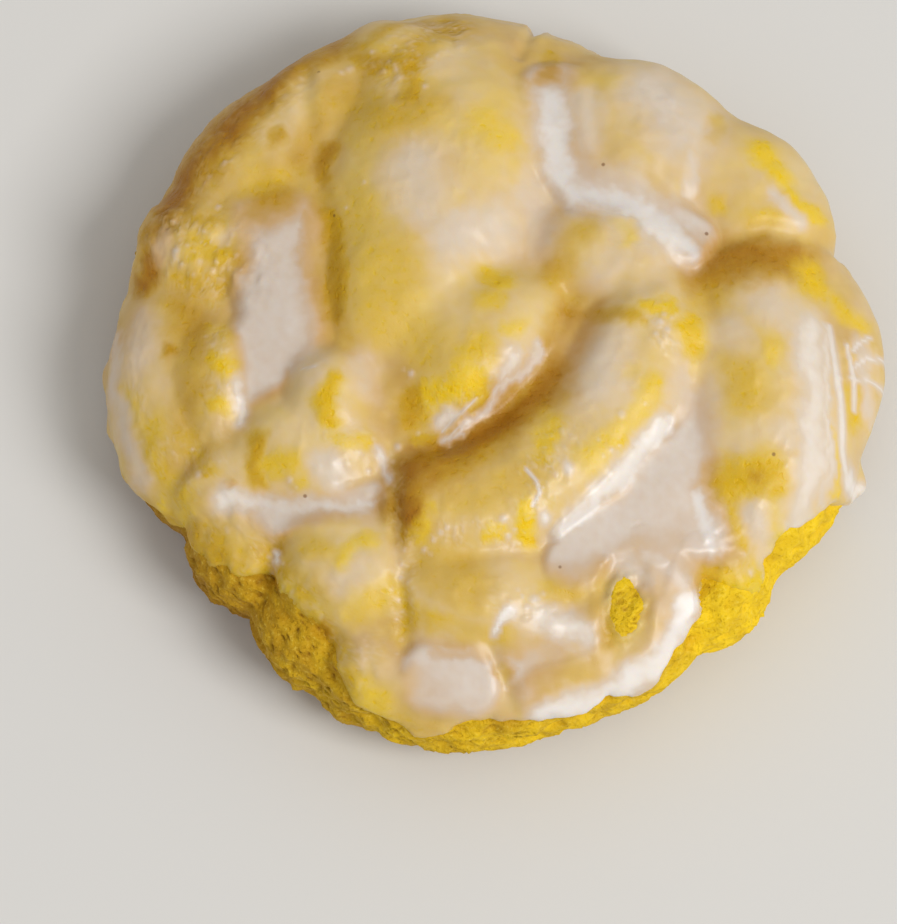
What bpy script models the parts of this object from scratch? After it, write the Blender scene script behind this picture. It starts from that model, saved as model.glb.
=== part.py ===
"""A glazed lemon cookie: a soft drop cookie with a lumpy, cracked top under a poured sugar glaze.

The cookie is one solid of dough that rests on its flat underside. The glaze is a second solid, a skin
that fills the hollows between the lumps, thins out over them and ends in a rounded lip. Both come from
one rounded disc: every point of it is moved along the disc's own normal by a relief worked out from
the lumps below. Lengths are in millimetres, and the meshes are scaled to metres when they are made.
"""

import math

import bmesh
import bpy
import numpy as np
from mathutils import Vector, noise

MM = 0.001

# The disc: its plain form before any lump is added
DISC_TOP = 15.2
WIDEST_AT = 7.6
UNDERSIDE_DIP = 0.55
TOP_ROUNDNESS = 2.9
UNDERSIDE_ROUNDNESS = 3.6
LUMP_FADE_LOW = 0.8
LUMP_FADE_HIGH = 6.5

# The outline seen from above: direction in degrees from +X, and the disc's radius there
OUTLINE = [
    (4, 36.9), (17, 36.2), (28, 34.5), (41, 35.3), (57, 33.8), (75, 34.9), (88, 36.6), (102, 37.7),
    (120, 37.3), (142, 36.4), (160, 36.6), (179, 36.4), (190, 35.3), (201, 35.9), (211, 33.4), (227, 33.3),
    (238, 35.2), (256, 37.8), (272, 37.2), (286, 35.3), (297, 35.4), (308, 34.3), (329, 33.2), (345, 34.8),
]

# Lumps of dough: middle x, y, half length, half width, turn in degrees, height over the disc's top
LUMPS = {
    "big_dome": (-5.8, 17.6, 17.5, 11.6, 76.0, 5.2),
    "big_dome_shoulder": (-8.6, 6.4, 9.5, 8.4, 80.0, 4.5),
    "tongue": (-1.2, 0.8, 9.8, 7.2, 46.0, 4.9),
    "bean": (11.6, 9.6, 8.2, 5.6, -10.0, 3.7),
    "far_right_dome": (14.8, 22.8, 10.5, 8.2, -36.0, 3.8),
    "right_wedge": (26.0, 17.2, 8.6, 6.2, -52.0, 3.2),
    "long_right": (26.4, -4.2, 17.0, 8.2, -87.0, 4.5),
    "right_strip": (35.6, -0.6, 7.5, 3.0, 90.0, 1.2),
    "near_dome": (-1.8, -24.4, 9.4, 5.8, -8.0, 3.7),
    "crumb_knob": (8.4, -25.2, 5.0, 4.0, 0.0, 1.6),
    "patch_crumb": (12.1, -25.5, 3.4, 2.6, 70.0, 2.9),
    "near_left_dome": (-14.4, -22.0, 7.8, 6.2, 5.0, 3.7),
    "left_dome": (-17.6, -9.6, 8.2, 6.4, 0.0, 3.9),
    "left_crest": (-15.6, -4.4, 5.8, 4.6, 102.0, 4.6),
    "upper_left_crumbs": (-29.4, 11.4, 6.8, 5.4, 12.0, 2.9),
    "left_shelf": (-32.6, -3.0, 9.4, 4.6, 86.0, 2.2),
    "left_rib": (-27.2, -3.0, 6.2, 3.4, 93.0, 3.1),
    "left_foot": (-25.4, -12.0, 5.2, 4.0, 20.0, 2.6),
    "upper_left_rim": (-23.6, 21.6, 9.4, 5.2, 48.0, 2.7),
    "upper_left_rib": (-17.2, 26.6, 7.0, 4.2, 62.0, 2.8),
    "top_crag": (-8.6, 29.4, 7.0, 5.0, -18.0, 3.6),
    "near_left_rim": (-25.6, -19.2, 6.4, 4.6, -48.0, 2.6),
    "lower_left_crag": (-20.4, -27.4, 6.0, 3.6, -42.0, 1.9),
    "lower_left_foot": (-12.6, -31.6, 6.0, 3.6, -22.0, 2.3),
    "lower_right_crag": (23.4, -22.4, 6.2, 3.4, 50.0, 2.0),
    "lower_right_plateau": (9.6, -31.0, 8.5, 3.6, 24.0, 1.5),
    "sheet_bed": (13.4, -26.4, 8.6, 5.4, 44.0, 1.2),
}
LUMP_POWER = 2.8

# Long lumps that bend: points along the crest, half width, height over the disc's top
RIDGES = {
    "crescent": ([(15.2, 2.4), (12.8, -4.0), (8.5, -10.0), (1.8, -14.4), (-5.4, -15.8)], 6.3, 4.6),
}

# Cracks between the lumps: points along the crack, half width, depth
CRACKS = {
    "far_notch": ([(5.2, 38.5), (4.4, 34.5), (3.2, 31.0)], 1.0, 1.7),
    "tongue_crease": ([(-9.6, -11.4), (-4.8, -10.4), (1.0, -7.2), (5.2, -1.4), (6.8, 5.0)], 1.5, 1.3),
    "middle_crevice": ([(-9.8, -8.0), (-9.4, -16.8), (-8.6, -24.0), (-8.8, -31.0)], 1.3, 1.1),
    "long_right_top": ([(19.6, 10.2), (26.0, 12.2), (33.5, 11.8)], 1.4, 1.2),
    "big_dome_left": ([(-17.6, 28.0), (-17.4, 20.0), (-16.6, 12.0), (-15.4, 4.0)], 1.4, 0.8),
}
GLAZE_CRACK_SHARE = 0.6

# Pools of glaze: points along the middle, half width, level over the disc's top
POOLS = {
    "channel": ([(5.8, 27.0), (6.6, 20.0), (8.8, 17.2), (13.0, 15.2), (18.6, 11.4)], 2.4, 2.2),
    "right_pool": ([(20.0, -1.0), (20.6, -9.0), (17.0, -16.0), (20.0, -19.0)], 3.4, 2.0),
    "right_pool_tail": ([(17.0, -12.0), (9.0, -18.6)], 2.8, 2.0),
    "left_pool": ([(-21.4, 12.4), (-21.0, 7.6), (-20.4, 2.4), (-23.4, -2.0)], 3.6, 2.1),
    "left_channel": ([(-28.0, -13.6), (-20.0, -16.4), (-12.0, -16.0), (-10.0, -20.0)], 2.0, 2.0),
    "near_pool": ([(-6.4, -32.0), (-2.6, -32.2)], 2.6, 2.0),
    "near_sheet": ([(20.4, -20.4), (18.6, -25.6), (13.6, -29.8), (5.0, -33.0)], 2.8, 2.1),
    "near_sheet_inside": ([(17.4, -20.6), (15.6, -25.6), (10.4, -28.6), (3.6, -29.8)], 2.8, 1.9),
    "beside_knob": ([(16.0, -19.8), (11.0, -20.4), (7.4, -21.6)], 2.2, 2.0),
}
POOL_LEVEL = 0.9
POOL_DRAIN = 7.0
POOL_FULL_SHARE = 0.8
POOL_END_SHARE = 1.9

# How far the glaze runs from the centre along the crust: direction in degrees, distance
GLAZE_REACH = [
    (-72, 36.2), (-62, 35.2), (-54, 33.2), (-48, 32.2), (-43, 35.2), (-37, 35.6), (-31, 34.4), (-22, 38.0),
    (-16, 44.0), (-10, 41.5), (0, 43.0), (30, 42.5), (60, 42.5), (82, 41.0), (100, 40.5), (125, 40.5),
    (147, 39.0), (157, 36.0), (165, 37.0), (173, 42.0), (190, 42.0), (202, 38.0), (213, 35.8), (222, 33.8),
    (230, 32.2), (238, 31.6), (246, 34.4), (255, 36.2), (262, 36.0), (270, 34.2), (279, 36.2),
]

# Bare spots inside the glaze: middle x, y, half length, half width, turn in degrees
BARE_SPOTS = {
    "crumb_patch": (12.1, -25.5, 2.8, 1.8, 70.0),
}

# Drips that hang on the side: direction in degrees, distance along the crust, half size, extra thickness
DRIPS = {
    "right_drip": (-15.5, 41.6, 2.6, 1.3),
    "left_scallop_1": (170.0, 40.5, 2.4, 0.5),
    "left_scallop_2": (178.5, 41.0, 2.8, 0.7),
    "left_scallop_3": (187.5, 41.0, 2.6, 0.6),
    "left_scallop_4": (195.5, 40.0, 2.2, 0.5),
}

# The glaze's own sizes
DOUGH_GAP = 0.34
FILM = 0.46
WALL_FILM = 0.55
LIP_WIDTH = 1.4
SPOT_SLOPE_START = -0.3
SPOT_SLOPE_END = 2.8
DIVE = 1.6
DIVE_WIDTH = 1.2
HOLLOW_FILL = 2.4
DOUGH_CREASE = 0.8
POOL_BLEND = 2.6

# Roughness of the bare dough
WARP_SIZE = 8.5
WARP_DEPTH = 1.1
CRAG_SIZE = 3.4
CRAG_DEPTH = 0.55
CRUMB_SIZE = 1.35
CRUMB_DEPTH = 0.28
GLAZED_ROUGH_SHARE = 0.25
BARE_FROM = -1.0
GLAZED_FROM = 2.0

# Waves in the glaze's edge
EDGE_WAVE_SIZE = 5.0
EDGE_WAVE_DEPTH = 1.3
BARE_SPOT_WAVE_SHARE = 0.4

# Mesh density
BALL_LEVELS = 7
PROFILE_POINTS = 1201
COOKIE_FACES = 5400
GLAZE_OUTSIDE_FACES = 5600
FOOT_TOLERANCE = 0.02


def smooth_step(low, high, values):
    t = np.clip((values - low) / (high - low), 0.0, 1.0)
    return t * t * (3.0 - 2.0 * t)


def smooth_max(a, b, width):
    """The larger of two heights, with the corner between them rounded over this width."""
    share = np.clip(0.5 + 0.5 * (a - b) / width, 0.0, 1.0)
    return b + (a - b) * share + width * share * (1.0 - share)


def round_the_clock(angles, table):
    """Values of a closed outline at these angles, on a smooth curve through the table's points."""
    known = np.radians([row[0] for row in table])
    value = np.array([row[1] for row in table], float)
    order = np.argsort(known % math.tau)
    known, value = (known % math.tau)[order], value[order]
    known = np.concatenate([known[-2:] - math.tau, known, known[:2] + math.tau])
    value = np.concatenate([value[-2:], value, value[:2]])
    slope = np.gradient(value, known)
    place = np.clip(np.searchsorted(known, angles % math.tau) - 1, 0, len(known) - 2)
    span = known[place + 1] - known[place]
    t = (angles % math.tau - known[place]) / span
    start, end = value[place], value[place + 1]
    lead_in, lead_out = slope[place] * span, slope[place + 1] * span
    bend = (2 * start - 2 * end + lead_in + lead_out) * t**3
    bend += (3 * end - 3 * start - 2 * lead_in - lead_out) * t**2
    return bend + lead_in * t + start


def half_profile():
    """The disc's cross-section from its top centre to its underside's centre, with its normals."""
    t = np.linspace(0.0, math.pi, 3 * PROFILE_POINTS)
    top = t <= math.pi / 2
    roundness = np.where(top, TOP_ROUNDNESS, UNDERSIDE_ROUNDNESS)
    depth = np.where(top, DISC_TOP - WIDEST_AT, WIDEST_AT + UNDERSIDE_DIP)
    reach = np.maximum(np.sin(t), 0.0) ** (2.0 / roundness)
    height = WIDEST_AT + depth * np.sign(np.cos(t)) * np.abs(np.cos(t)) ** (2.0 / roundness)
    mean_radius = np.mean([row[1] for row in OUTLINE])
    points = np.stack([reach * mean_radius, np.maximum(height, 0.0)], 1)
    run = np.concatenate([[0.0], np.cumsum(np.linalg.norm(np.diff(points, axis=0), axis=1))])
    even = np.linspace(0.0, run[-1], PROFILE_POINTS)
    points = np.stack([np.interp(even, run, points[:, i]) for i in (0, 1)], 1)
    along = np.gradient(points, even, axis=0)
    normals = np.stack([-along[:, 1], along[:, 0]], 1)
    normals /= np.linalg.norm(normals, axis=1)[:, None]
    return even, points, normals, mean_radius


def noise_at(points, size, seed, octaves=1):
    """Smooth noise from about -1 to 1 whose lumps are this size."""
    offset = Vector((seed, seed * 0.7, -seed))
    if octaves == 1:
        return np.array([noise.noise(Vector(p) / size + offset) for p in points])
    return np.array([noise.fractal(Vector(p) / size + offset, 0.8, 2.1, octaves) for p in points])


class Crust:
    """The disc's points on a fine ball, and all that the lumps and the glaze need to know of them."""

    def __init__(self, directions):
        run, points, normals, mean_radius = half_profile()
        tilt = np.arccos(np.clip(directions[:, 2], -1.0, 1.0))
        self.along = tilt / math.pi * run[-1]
        self.turn = np.arctan2(directions[:, 1], directions[:, 0])
        radius = np.interp(self.along, run, points[:, 0])
        height = np.interp(self.along, run, points[:, 1])
        out = np.interp(self.along, run, normals[:, 0])
        up = np.interp(self.along, run, normals[:, 1])
        length = np.hypot(out, up)
        radius = radius * round_the_clock(self.turn, OUTLINE) / mean_radius
        across = np.stack([np.cos(self.turn), np.sin(self.turn)], 1)
        self.point = np.column_stack([across * radius[:, None], height])
        self.normal = np.column_stack([across * (out / length)[:, None], up / length])
        warp = [noise_at(self.point, WARP_SIZE, seed) for seed in (3.1, 11.7)]
        self.x = self.point[:, 0] + WARP_DEPTH * warp[0]
        self.y = self.point[:, 1] + WARP_DEPTH * warp[1]
        self.steepness = 1.0 - np.clip(self.normal[:, 2], 0.0, 1.0)
        self.off_floor = smooth_step(LUMP_FADE_LOW, LUMP_FADE_HIGH, self.point[:, 2])

    def moved(self, height):
        """The points after each has moved out by its height, and none below the floor."""
        place = self.point + self.normal * height[:, None]
        place[:, 2] = np.maximum(place[:, 2], 0.0)
        return place


def distance_in_oval(crust, x, y, half_length, half_width, turn):
    """0 at an oval's middle and 1 on its edge."""
    c, s = math.cos(math.radians(turn)), math.sin(math.radians(turn))
    along = (crust.x - x) * c + (crust.y - y) * s
    across = (crust.y - y) * c - (crust.x - x) * s
    return np.hypot(along / half_length, across / half_width)


def distance_to_path(crust, path):
    """The distance in plan from a line through these points."""
    nearest = np.full(len(crust.x), np.inf)
    for (ax, ay), (bx, by) in zip(path, path[1:]):
        span = (bx - ax) ** 2 + (by - ay) ** 2
        t = np.clip(((crust.x - ax) * (bx - ax) + (crust.y - ay) * (by - ay)) / span, 0.0, 1.0)
        nearest = np.minimum(nearest, np.hypot(crust.x - ax - t * (bx - ax), crust.y - ay - t * (by - ay)))
    return nearest


def lump_relief(crust, crease, inset=0.0):
    """How far the lumps stand out of the disc, with creases of this width between them."""
    relief = np.zeros(len(crust.x))
    for x, y, half_length, half_width, turn, height in LUMPS.values():
        share = distance_in_oval(crust, x, y, half_length - inset, half_width - inset, turn)
        relief = smooth_max(relief, height * (1.0 - share**LUMP_POWER), crease)
    for path, half_width, height in RIDGES.values():
        share = distance_to_path(crust, path) / (half_width - inset)
        relief = smooth_max(relief, height * (1.0 - share**LUMP_POWER), crease)
    return relief


def crack_depth(crust):
    depth = np.zeros(len(crust.x))
    for path, half_width, deep in CRACKS.values():
        share = distance_to_path(crust, path) / half_width
        depth = np.maximum(depth, deep * (1.0 - smooth_step(0.0, 1.0, share)))
    return depth


def drip_thickness(crust):
    """What the drips add to the glaze on the cookie's side."""
    extra = np.zeros(len(crust.x))
    radius = np.hypot(crust.point[:, 0], crust.point[:, 1])
    for turn, along, half_size, thick in DRIPS.values():
        aside = (crust.turn - math.radians(turn) + math.pi) % math.tau - math.pi
        share = np.hypot(aside * radius, crust.along - along) / half_size
        extra = np.maximum(extra, thick * (1.0 - smooth_step(0.0, 1.0, share)))
    return extra


def pool_level(crust):
    """The level that glaze stands at between the lumps. It drains off where the crust turns down."""
    level = np.full(len(crust.x), POOL_LEVEL)
    for path, half_width, height in POOLS.values():
        share = distance_to_path(crust, path) / half_width
        level = np.maximum(level, height * (1.0 - smooth_step(POOL_FULL_SHARE, POOL_END_SHARE, share)))
    return level - POOL_DRAIN * crust.steepness


def glaze_cover(crust):
    """How far each point is inside the glaze's outer edge, and outside its bare spots, or else negative."""
    wave = EDGE_WAVE_DEPTH * noise_at(crust.point, EDGE_WAVE_SIZE, 5.3, octaves=3)
    inside_edge = round_the_clock(crust.turn, GLAZE_REACH) - crust.along + wave
    off_spots = np.full(len(wave), np.inf)
    for x, y, half_length, half_width, turn in BARE_SPOTS.values():
        share = distance_in_oval(crust, x, y, half_length, half_width, turn)
        off_spots = np.minimum(off_spots, (share - 1.0) * half_width + BARE_SPOT_WAVE_SHARE * wave)
    return inside_edge, off_spots


def lip(inside_edge, off_spots):
    """The share of its full thickness that the glaze has: a rounded lip, and a slope to each bare spot."""
    inside = np.clip(inside_edge / LIP_WIDTH, 0.0, 1.0)
    return np.sqrt(1.0 - (1.0 - inside) ** 2) * smooth_step(SPOT_SLOPE_START, SPOT_SLOPE_END, off_spots)


def crumb_relief(crust, cover):
    """Crags and crumb on bare dough, which the glaze smooths away where it lies over them."""
    bare = 1.0 - smooth_step(BARE_FROM, GLAZED_FROM, cover)
    crags = 0.5 - 2.0 * np.abs(noise_at(crust.point, CRAG_SIZE, 1.9, octaves=3))
    crumbs = noise_at(crust.point, CRUMB_SIZE, 8.2, octaves=2)
    rough_share = GLAZED_ROUGH_SHARE + (1.0 - GLAZED_ROUGH_SHARE) * bare
    return (CRAG_DEPTH * crags + CRUMB_DEPTH * crumbs) * rough_share


def dough_height(crust, cover):
    relief = lump_relief(crust, DOUGH_CREASE, WALL_FILM) - crack_depth(crust) + crumb_relief(crust, cover)
    return relief * crust.off_floor


def glaze_height(crust, inside_edge, off_spots, dough):
    """The glaze's upper side, which dives under the dough outside the glaze's edge."""
    lumps = lump_relief(crust, HOLLOW_FILL) - GLAZE_CRACK_SHARE * crack_depth(crust)
    filled = smooth_max(lumps * crust.off_floor, pool_level(crust), POOL_BLEND)
    full = np.maximum(filled, dough) + FILM + DOUGH_GAP + drip_thickness(crust)
    outside = smooth_step(0.0, -DIVE_WIDTH, np.minimum(inside_edge, off_spots))
    return dough + (full - dough) * lip(inside_edge, off_spots) - DIVE * outside


def ball():
    """A fine ball, whose points are then moved onto the cookie or the glaze."""
    mesh = bmesh.new()
    bmesh.ops.create_icosphere(mesh, subdivisions=BALL_LEVELS, radius=1.0)
    return mesh


def ball_directions():
    mesh = ball()
    directions = np.array([v.co.normalized() for v in mesh.verts])
    mesh.free()
    return directions


def finished_object(name, places):
    """A ball made into an object whose points lie at these places, in millimetres."""
    mesh = ball()
    for vertex, place in zip(mesh.verts, places * MM):
        vertex.co = place
    data = bpy.data.meshes.new(name)
    mesh.to_mesh(data)
    mesh.free()
    made = bpy.data.objects.new(name, data)
    bpy.context.scene.collection.objects.link(made)
    return made


def applied(obj):
    """The object with its modifiers made part of its mesh."""
    graph = bpy.context.evaluated_depsgraph_get()
    data = bpy.data.meshes.new_from_object(obj.evaluated_get(graph))
    old = obj.data
    obj.modifiers.clear()
    obj.data = data
    data.name = obj.name
    bpy.data.meshes.remove(old)
    return obj


def thin_out(obj, faces):
    """Collapses the object's edges until about this many triangles are left."""
    have = sum(len(p.vertices) - 2 for p in obj.data.polygons)
    modifier = obj.modifiers.new("fewer faces", "DECIMATE")
    modifier.ratio = faces / have
    return applied(obj)


def flatten_foot(obj):
    """Lays the underside dead flat, because thinning leaves its points a few micrometres uneven."""
    for vertex in obj.data.vertices:
        if vertex.co.z < FOOT_TOLERANCE * MM:
            vertex.co.z = 0.0


def keep_largest_piece(obj):
    """Drops the loose scraps that a cut leaves."""
    mesh = bmesh.new()
    mesh.from_mesh(obj.data)
    left, groups = set(mesh.verts), []
    while left:
        group, edge = set(), [left.pop()]
        while edge:
            vertex = edge.pop()
            group.add(vertex)
            near = [e.other_vert(vertex) for e in vertex.link_edges]
            fresh = [v for v in near if v in left]
            left.difference_update(fresh)
            edge.extend(fresh)
        groups.append(group)
    largest = max(groups, key=len)
    bmesh.ops.delete(mesh, geom=[v for v in mesh.verts if v not in largest], context="VERTS")
    mesh.to_mesh(obj.data)
    mesh.free()


def plain_material(name, colour, roughness, coat):
    material = bpy.data.materials.new(name)
    material.use_nodes = True
    shader = material.node_tree.nodes["Principled BSDF"]
    shader.inputs["Base Color"].default_value = (*colour, 1.0)
    shader.inputs["Roughness"].default_value = roughness
    shader.inputs["Metallic"].default_value = 0.0
    shader.inputs["Coat Weight"].default_value = coat
    return material


def make_cookie(crust, dough):
    cookie = finished_object("cookie", crust.moved(dough))
    thin_out(cookie, COOKIE_FACES)
    flatten_foot(cookie)
    cookie.data.materials.append(plain_material("baked lemon dough", (0.83, 0.56, 0.09), 0.75, 0.0))
    return cookie


def make_glaze(crust, outside, cookie):
    """The glaze's outer form, with the cookie and a thin gap round it cut out."""
    glaze = finished_object("glaze", crust.moved(outside))
    thin_out(glaze, GLAZE_OUTSIDE_FACES)

    cutter = cookie.copy()
    cutter.data = cookie.data.copy()
    cutter.name = "cookie and its gap"
    bpy.context.scene.collection.objects.link(cutter)
    swell = cutter.modifiers.new("gap", "DISPLACE")
    swell.strength = DOUGH_GAP * MM
    swell.mid_level = 0.0
    applied(cutter)

    # The exact solver breaks this thin skin up where it comes near the cookie's steep walls
    cut = glaze.modifiers.new("room for the cookie", "BOOLEAN")
    cut.operation = "DIFFERENCE"
    cut.object = cutter
    cut.solver = "MANIFOLD"
    applied(glaze)
    bpy.data.objects.remove(cutter)
    keep_largest_piece(glaze)
    glaze.data.materials.clear()
    glaze.data.materials.append(plain_material("sugar glaze", (0.86, 0.80, 0.70), 0.25, 0.6))
    return glaze


def main():
    for obj in list(bpy.data.objects):
        bpy.data.objects.remove(obj)
    crust = Crust(ball_directions())
    inside_edge, off_spots = glaze_cover(crust)
    dough = dough_height(crust, np.minimum(inside_edge, off_spots))
    cookie = make_cookie(crust, dough)
    glaze = make_glaze(crust, glaze_height(crust, inside_edge, off_spots, dough), cookie)
    for made in (cookie, glaze):
        made.data.shade_smooth()


main()
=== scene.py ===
import math

import bpy
import numpy as np
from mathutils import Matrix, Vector, noise


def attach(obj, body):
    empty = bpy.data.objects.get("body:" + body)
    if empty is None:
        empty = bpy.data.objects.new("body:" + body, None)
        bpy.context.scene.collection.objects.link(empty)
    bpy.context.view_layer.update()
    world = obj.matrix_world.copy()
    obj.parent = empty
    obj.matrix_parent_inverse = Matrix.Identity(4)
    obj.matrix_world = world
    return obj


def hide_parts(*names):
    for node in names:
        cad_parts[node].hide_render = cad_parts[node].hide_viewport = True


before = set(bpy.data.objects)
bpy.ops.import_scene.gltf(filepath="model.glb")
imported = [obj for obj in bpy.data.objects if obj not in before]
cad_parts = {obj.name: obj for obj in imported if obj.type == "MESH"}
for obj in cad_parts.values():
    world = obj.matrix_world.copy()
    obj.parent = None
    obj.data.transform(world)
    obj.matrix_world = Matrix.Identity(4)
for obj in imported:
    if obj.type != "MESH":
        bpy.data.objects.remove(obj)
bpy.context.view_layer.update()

bpy.ops.object.select_all(action="DESELECT")
mm = 0.001  # every size below is in millimetres

# Where each pattern is read from the noise, so that no two of them fall together
seeds = {
    "warpX": 3.1,
    "warpY": 11.7,
    "edgeWave": 5.3,
    "crags": 1.9,
    "crumbs": 8.2,
    "doughStray": (21.3, 23.9, 27.1),
    "clumps": 4.4,
    "grain": 9.1,
    "crumbly": 31.7,
    "crevices": 35.9,
    "toast": 51.1,
    "toastFine": 53.3,
    "poolEdge": 61.3,
    "waves": 2.7,
    "bumps": 6.1,
    "glazeStray": (33.1, 35.3, 37.9),
    "patches": 19.1,
    "folds": 9.3,
    "blisters": 17.3,
    "clods": 63.1,
    "clouds": 41.3,
    "wisps": 43.7,
    "mottle": 47.9,
    "brushX": (13.3, 14.9),
    "brushY": (15.7, 16.1),
}
noiseSlant, cellSlant = 0.7, 0.6  # how a seed moves the noise and the cells in y and z
octaveFade, octaveGap = 0.8, 2.1  # how much weaker and finer each octave is than the one before

# The rounded disc that the dough and the glaze both start from, and the way its outline runs:
# direction in degrees from +X, then the radius there
form = {
    "discTop": 15.2,
    "widestAt": 7.6,
    "undersideDip": 0.55,
    "topRoundness": 2.9,
    "undersideRoundness": 3.6,
    "profilePoints": 1201,
    "fadeLow": 0.8,
    "fadeHigh": 6.5,
    "warpSize": 8.5,
    "warpDepth": 1.1,
    "poleWidth": 0.02,
    "outline": [
        (4, 36.9), (17, 36.2), (28, 34.5), (41, 35.3), (57, 33.8), (75, 34.9), (88, 36.6), (102, 37.7),
        (120, 37.3), (142, 36.4), (160, 36.6), (179, 36.4), (190, 35.3), (201, 35.9), (211, 33.4),
        (227, 33.3), (238, 35.2), (256, 37.8), (272, 37.2), (286, 35.3), (297, 35.4), (308, 34.3),
        (329, 33.2), (345, 34.8),
    ],
}

# Lumps of dough: middle x, y, half length, half width, turn in degrees, height over the disc's top
lumps = {
    "bigDome": (-5.8, 17.6, 17.5, 11.6, 76.0, 5.2),
    "bigDomeShoulder": (-8.6, 6.4, 9.5, 8.4, 80.0, 4.5),
    "tongue": (-1.2, 0.8, 9.8, 7.2, 46.0, 4.9),
    "bean": (11.6, 9.6, 8.2, 5.6, -10.0, 3.7),
    "farRightDome": (14.8, 22.8, 10.5, 8.2, -36.0, 3.8),
    "rightWedge": (26.0, 17.2, 8.6, 6.2, -52.0, 3.2),
    "longRight": (26.4, -4.2, 17.0, 8.2, -87.0, 4.5),
    "rightStrip": (35.6, -0.6, 7.5, 3.0, 90.0, 1.2),
    "nearDome": (-1.8, -24.4, 9.4, 5.8, -8.0, 3.7),
    "crumbKnob": (8.4, -25.2, 5.0, 4.0, 0.0, 1.6),
    "patchCrumb": (12.1, -25.5, 4.2, 3.4, 70.0, 2.1),
    "nearLeftDome": (-14.4, -22.0, 7.8, 6.2, 5.0, 3.7),
    "leftDome": (-17.6, -9.6, 8.2, 6.4, 0.0, 3.9),
    "leftCrest": (-15.6, -4.4, 5.8, 4.6, 102.0, 4.6),
    "upperLeftCrumbs": (-29.4, 11.4, 6.8, 5.4, 12.0, 2.9),
    "leftShelf": (-32.6, -3.0, 9.4, 4.6, 86.0, 2.2),
    "leftRib": (-27.2, -3.0, 6.2, 3.4, 93.0, 3.1),
    "leftFoot": (-25.4, -12.0, 5.2, 4.0, 20.0, 2.6),
    "upperLeftRim": (-23.6, 21.6, 9.4, 5.2, 48.0, 2.7),
    "upperLeftRib": (-17.2, 26.6, 7.0, 4.2, 62.0, 2.8),
    "topCrag": (-8.6, 29.4, 7.0, 5.0, -18.0, 3.6),
    "nearLeftRim": (-25.6, -19.2, 6.4, 4.6, -48.0, 2.6),
    "lowerLeftCrag": (-20.4, -27.4, 6.0, 3.6, -42.0, 1.9),
    "lowerLeftFoot": (-12.6, -31.6, 6.0, 3.6, -22.0, 2.3),
    "lowerRightCrag": (23.4, -22.4, 6.2, 3.4, 50.0, 2.0),
    "lowerRightPlateau": (9.6, -31.0, 8.5, 3.6, 24.0, 1.5),
    "sheetBed": (13.4, -26.4, 8.6, 5.4, 44.0, 1.2),
}
lumpPower = 2.8

# The long bent lump: points along its crest, half width, height
crescent = {
    "path": [(15.2, 2.4), (12.8, -4.0), (8.5, -10.0), (1.8, -14.4), (-5.4, -15.8)],
    "halfWidth": 6.3,
    "height": 4.6,
}

# Cracks: points along the crack, half width, depth
cracks = {
    "farNotch": ([(5.2, 38.5), (4.4, 34.5), (3.2, 31.0)], 1.0, 1.7),
    "tongueCrease": ([(-9.6, -11.4), (-4.8, -10.4), (1.0, -7.2), (5.2, -1.4), (6.8, 5.0)], 1.5, 1.3),
    "middleCrevice": ([(-9.8, -8.0), (-9.4, -16.8), (-8.6, -24.0), (-8.8, -31.0)], 1.3, 1.1),
    "longRightTop": ([(19.6, 10.2), (26.0, 12.2), (33.5, 11.8)], 1.4, 1.2),
    "bigDomeLeft": ([(-17.6, 28.0), (-17.4, 20.0), (-16.6, 12.0), (-15.4, 4.0)], 1.4, 0.8),
}

# Pools of glaze: points along the middle, half width, level over the disc's top
pools = {
    "channel": ([(5.8, 27.0), (6.6, 20.0), (8.8, 17.2), (13.0, 15.2), (18.6, 11.4)], 2.4, 2.2),
    "rightPool": ([(20.0, -1.0), (20.6, -9.0), (17.0, -16.0), (20.0, -19.0)], 3.4, 2.0),
    "rightPoolTail": ([(17.0, -12.0), (9.0, -18.6)], 2.8, 2.0),
    "leftPool": ([(-21.4, 12.4), (-21.0, 7.6), (-20.4, 2.4), (-23.4, -2.0)], 3.6, 2.1),
    "leftChannel": ([(-28.0, -13.6), (-20.0, -16.4), (-12.0, -16.0), (-10.0, -20.0)], 2.0, 2.0),
    "nearPool": ([(-6.4, -32.0), (-2.6, -32.2)], 2.6, 2.0),
    "nearSheet": ([(20.4, -20.4), (18.6, -25.6), (13.6, -29.8), (5.0, -33.0)], 2.8, 2.1),
    "nearSheetInside": ([(17.4, -20.6), (15.6, -25.6), (10.4, -28.6), (3.6, -29.8)], 2.8, 1.9),
    "besideKnob": ([(16.0, -19.8), (11.0, -20.4), (7.4, -21.6)], 2.2, 2.0),
}


def smoothStep(low, high, values):
    t = np.clip((values - low) / (high - low), 0.0, 1.0)
    return t * t * (3.0 - 2.0 * t)


def smoothMax(a, b, width):
    share = np.clip(0.5 + 0.5 * (a - b) / width, 0.0, 1.0)
    return b + (a - b) * share + width * share * (1.0 - share)


def roundTheClock(angles, table):
    # a closed outline's values at these angles, on a smooth curve through the table
    known = np.radians([row[0] for row in table])
    value = np.array([row[1] for row in table], float)
    order = np.argsort(known % math.tau)
    known, value = (known % math.tau)[order], value[order]
    known = np.concatenate([known[-2:] - math.tau, known, known[:2] + math.tau])
    value = np.concatenate([value[-2:], value, value[:2]])
    slope = np.gradient(value, known)
    place = np.clip(np.searchsorted(known, angles % math.tau) - 1, 0, len(known) - 2)
    span = known[place + 1] - known[place]
    t = (angles % math.tau - known[place]) / span
    start, end = value[place], value[place + 1]
    leadIn, leadOut = slope[place] * span, slope[place + 1] * span
    bend = (2 * start - 2 * end + leadIn + leadOut) * t**3
    bend += (3 * end - 3 * start - 2 * leadIn - leadOut) * t**2
    return bend + leadIn * t + start


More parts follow.
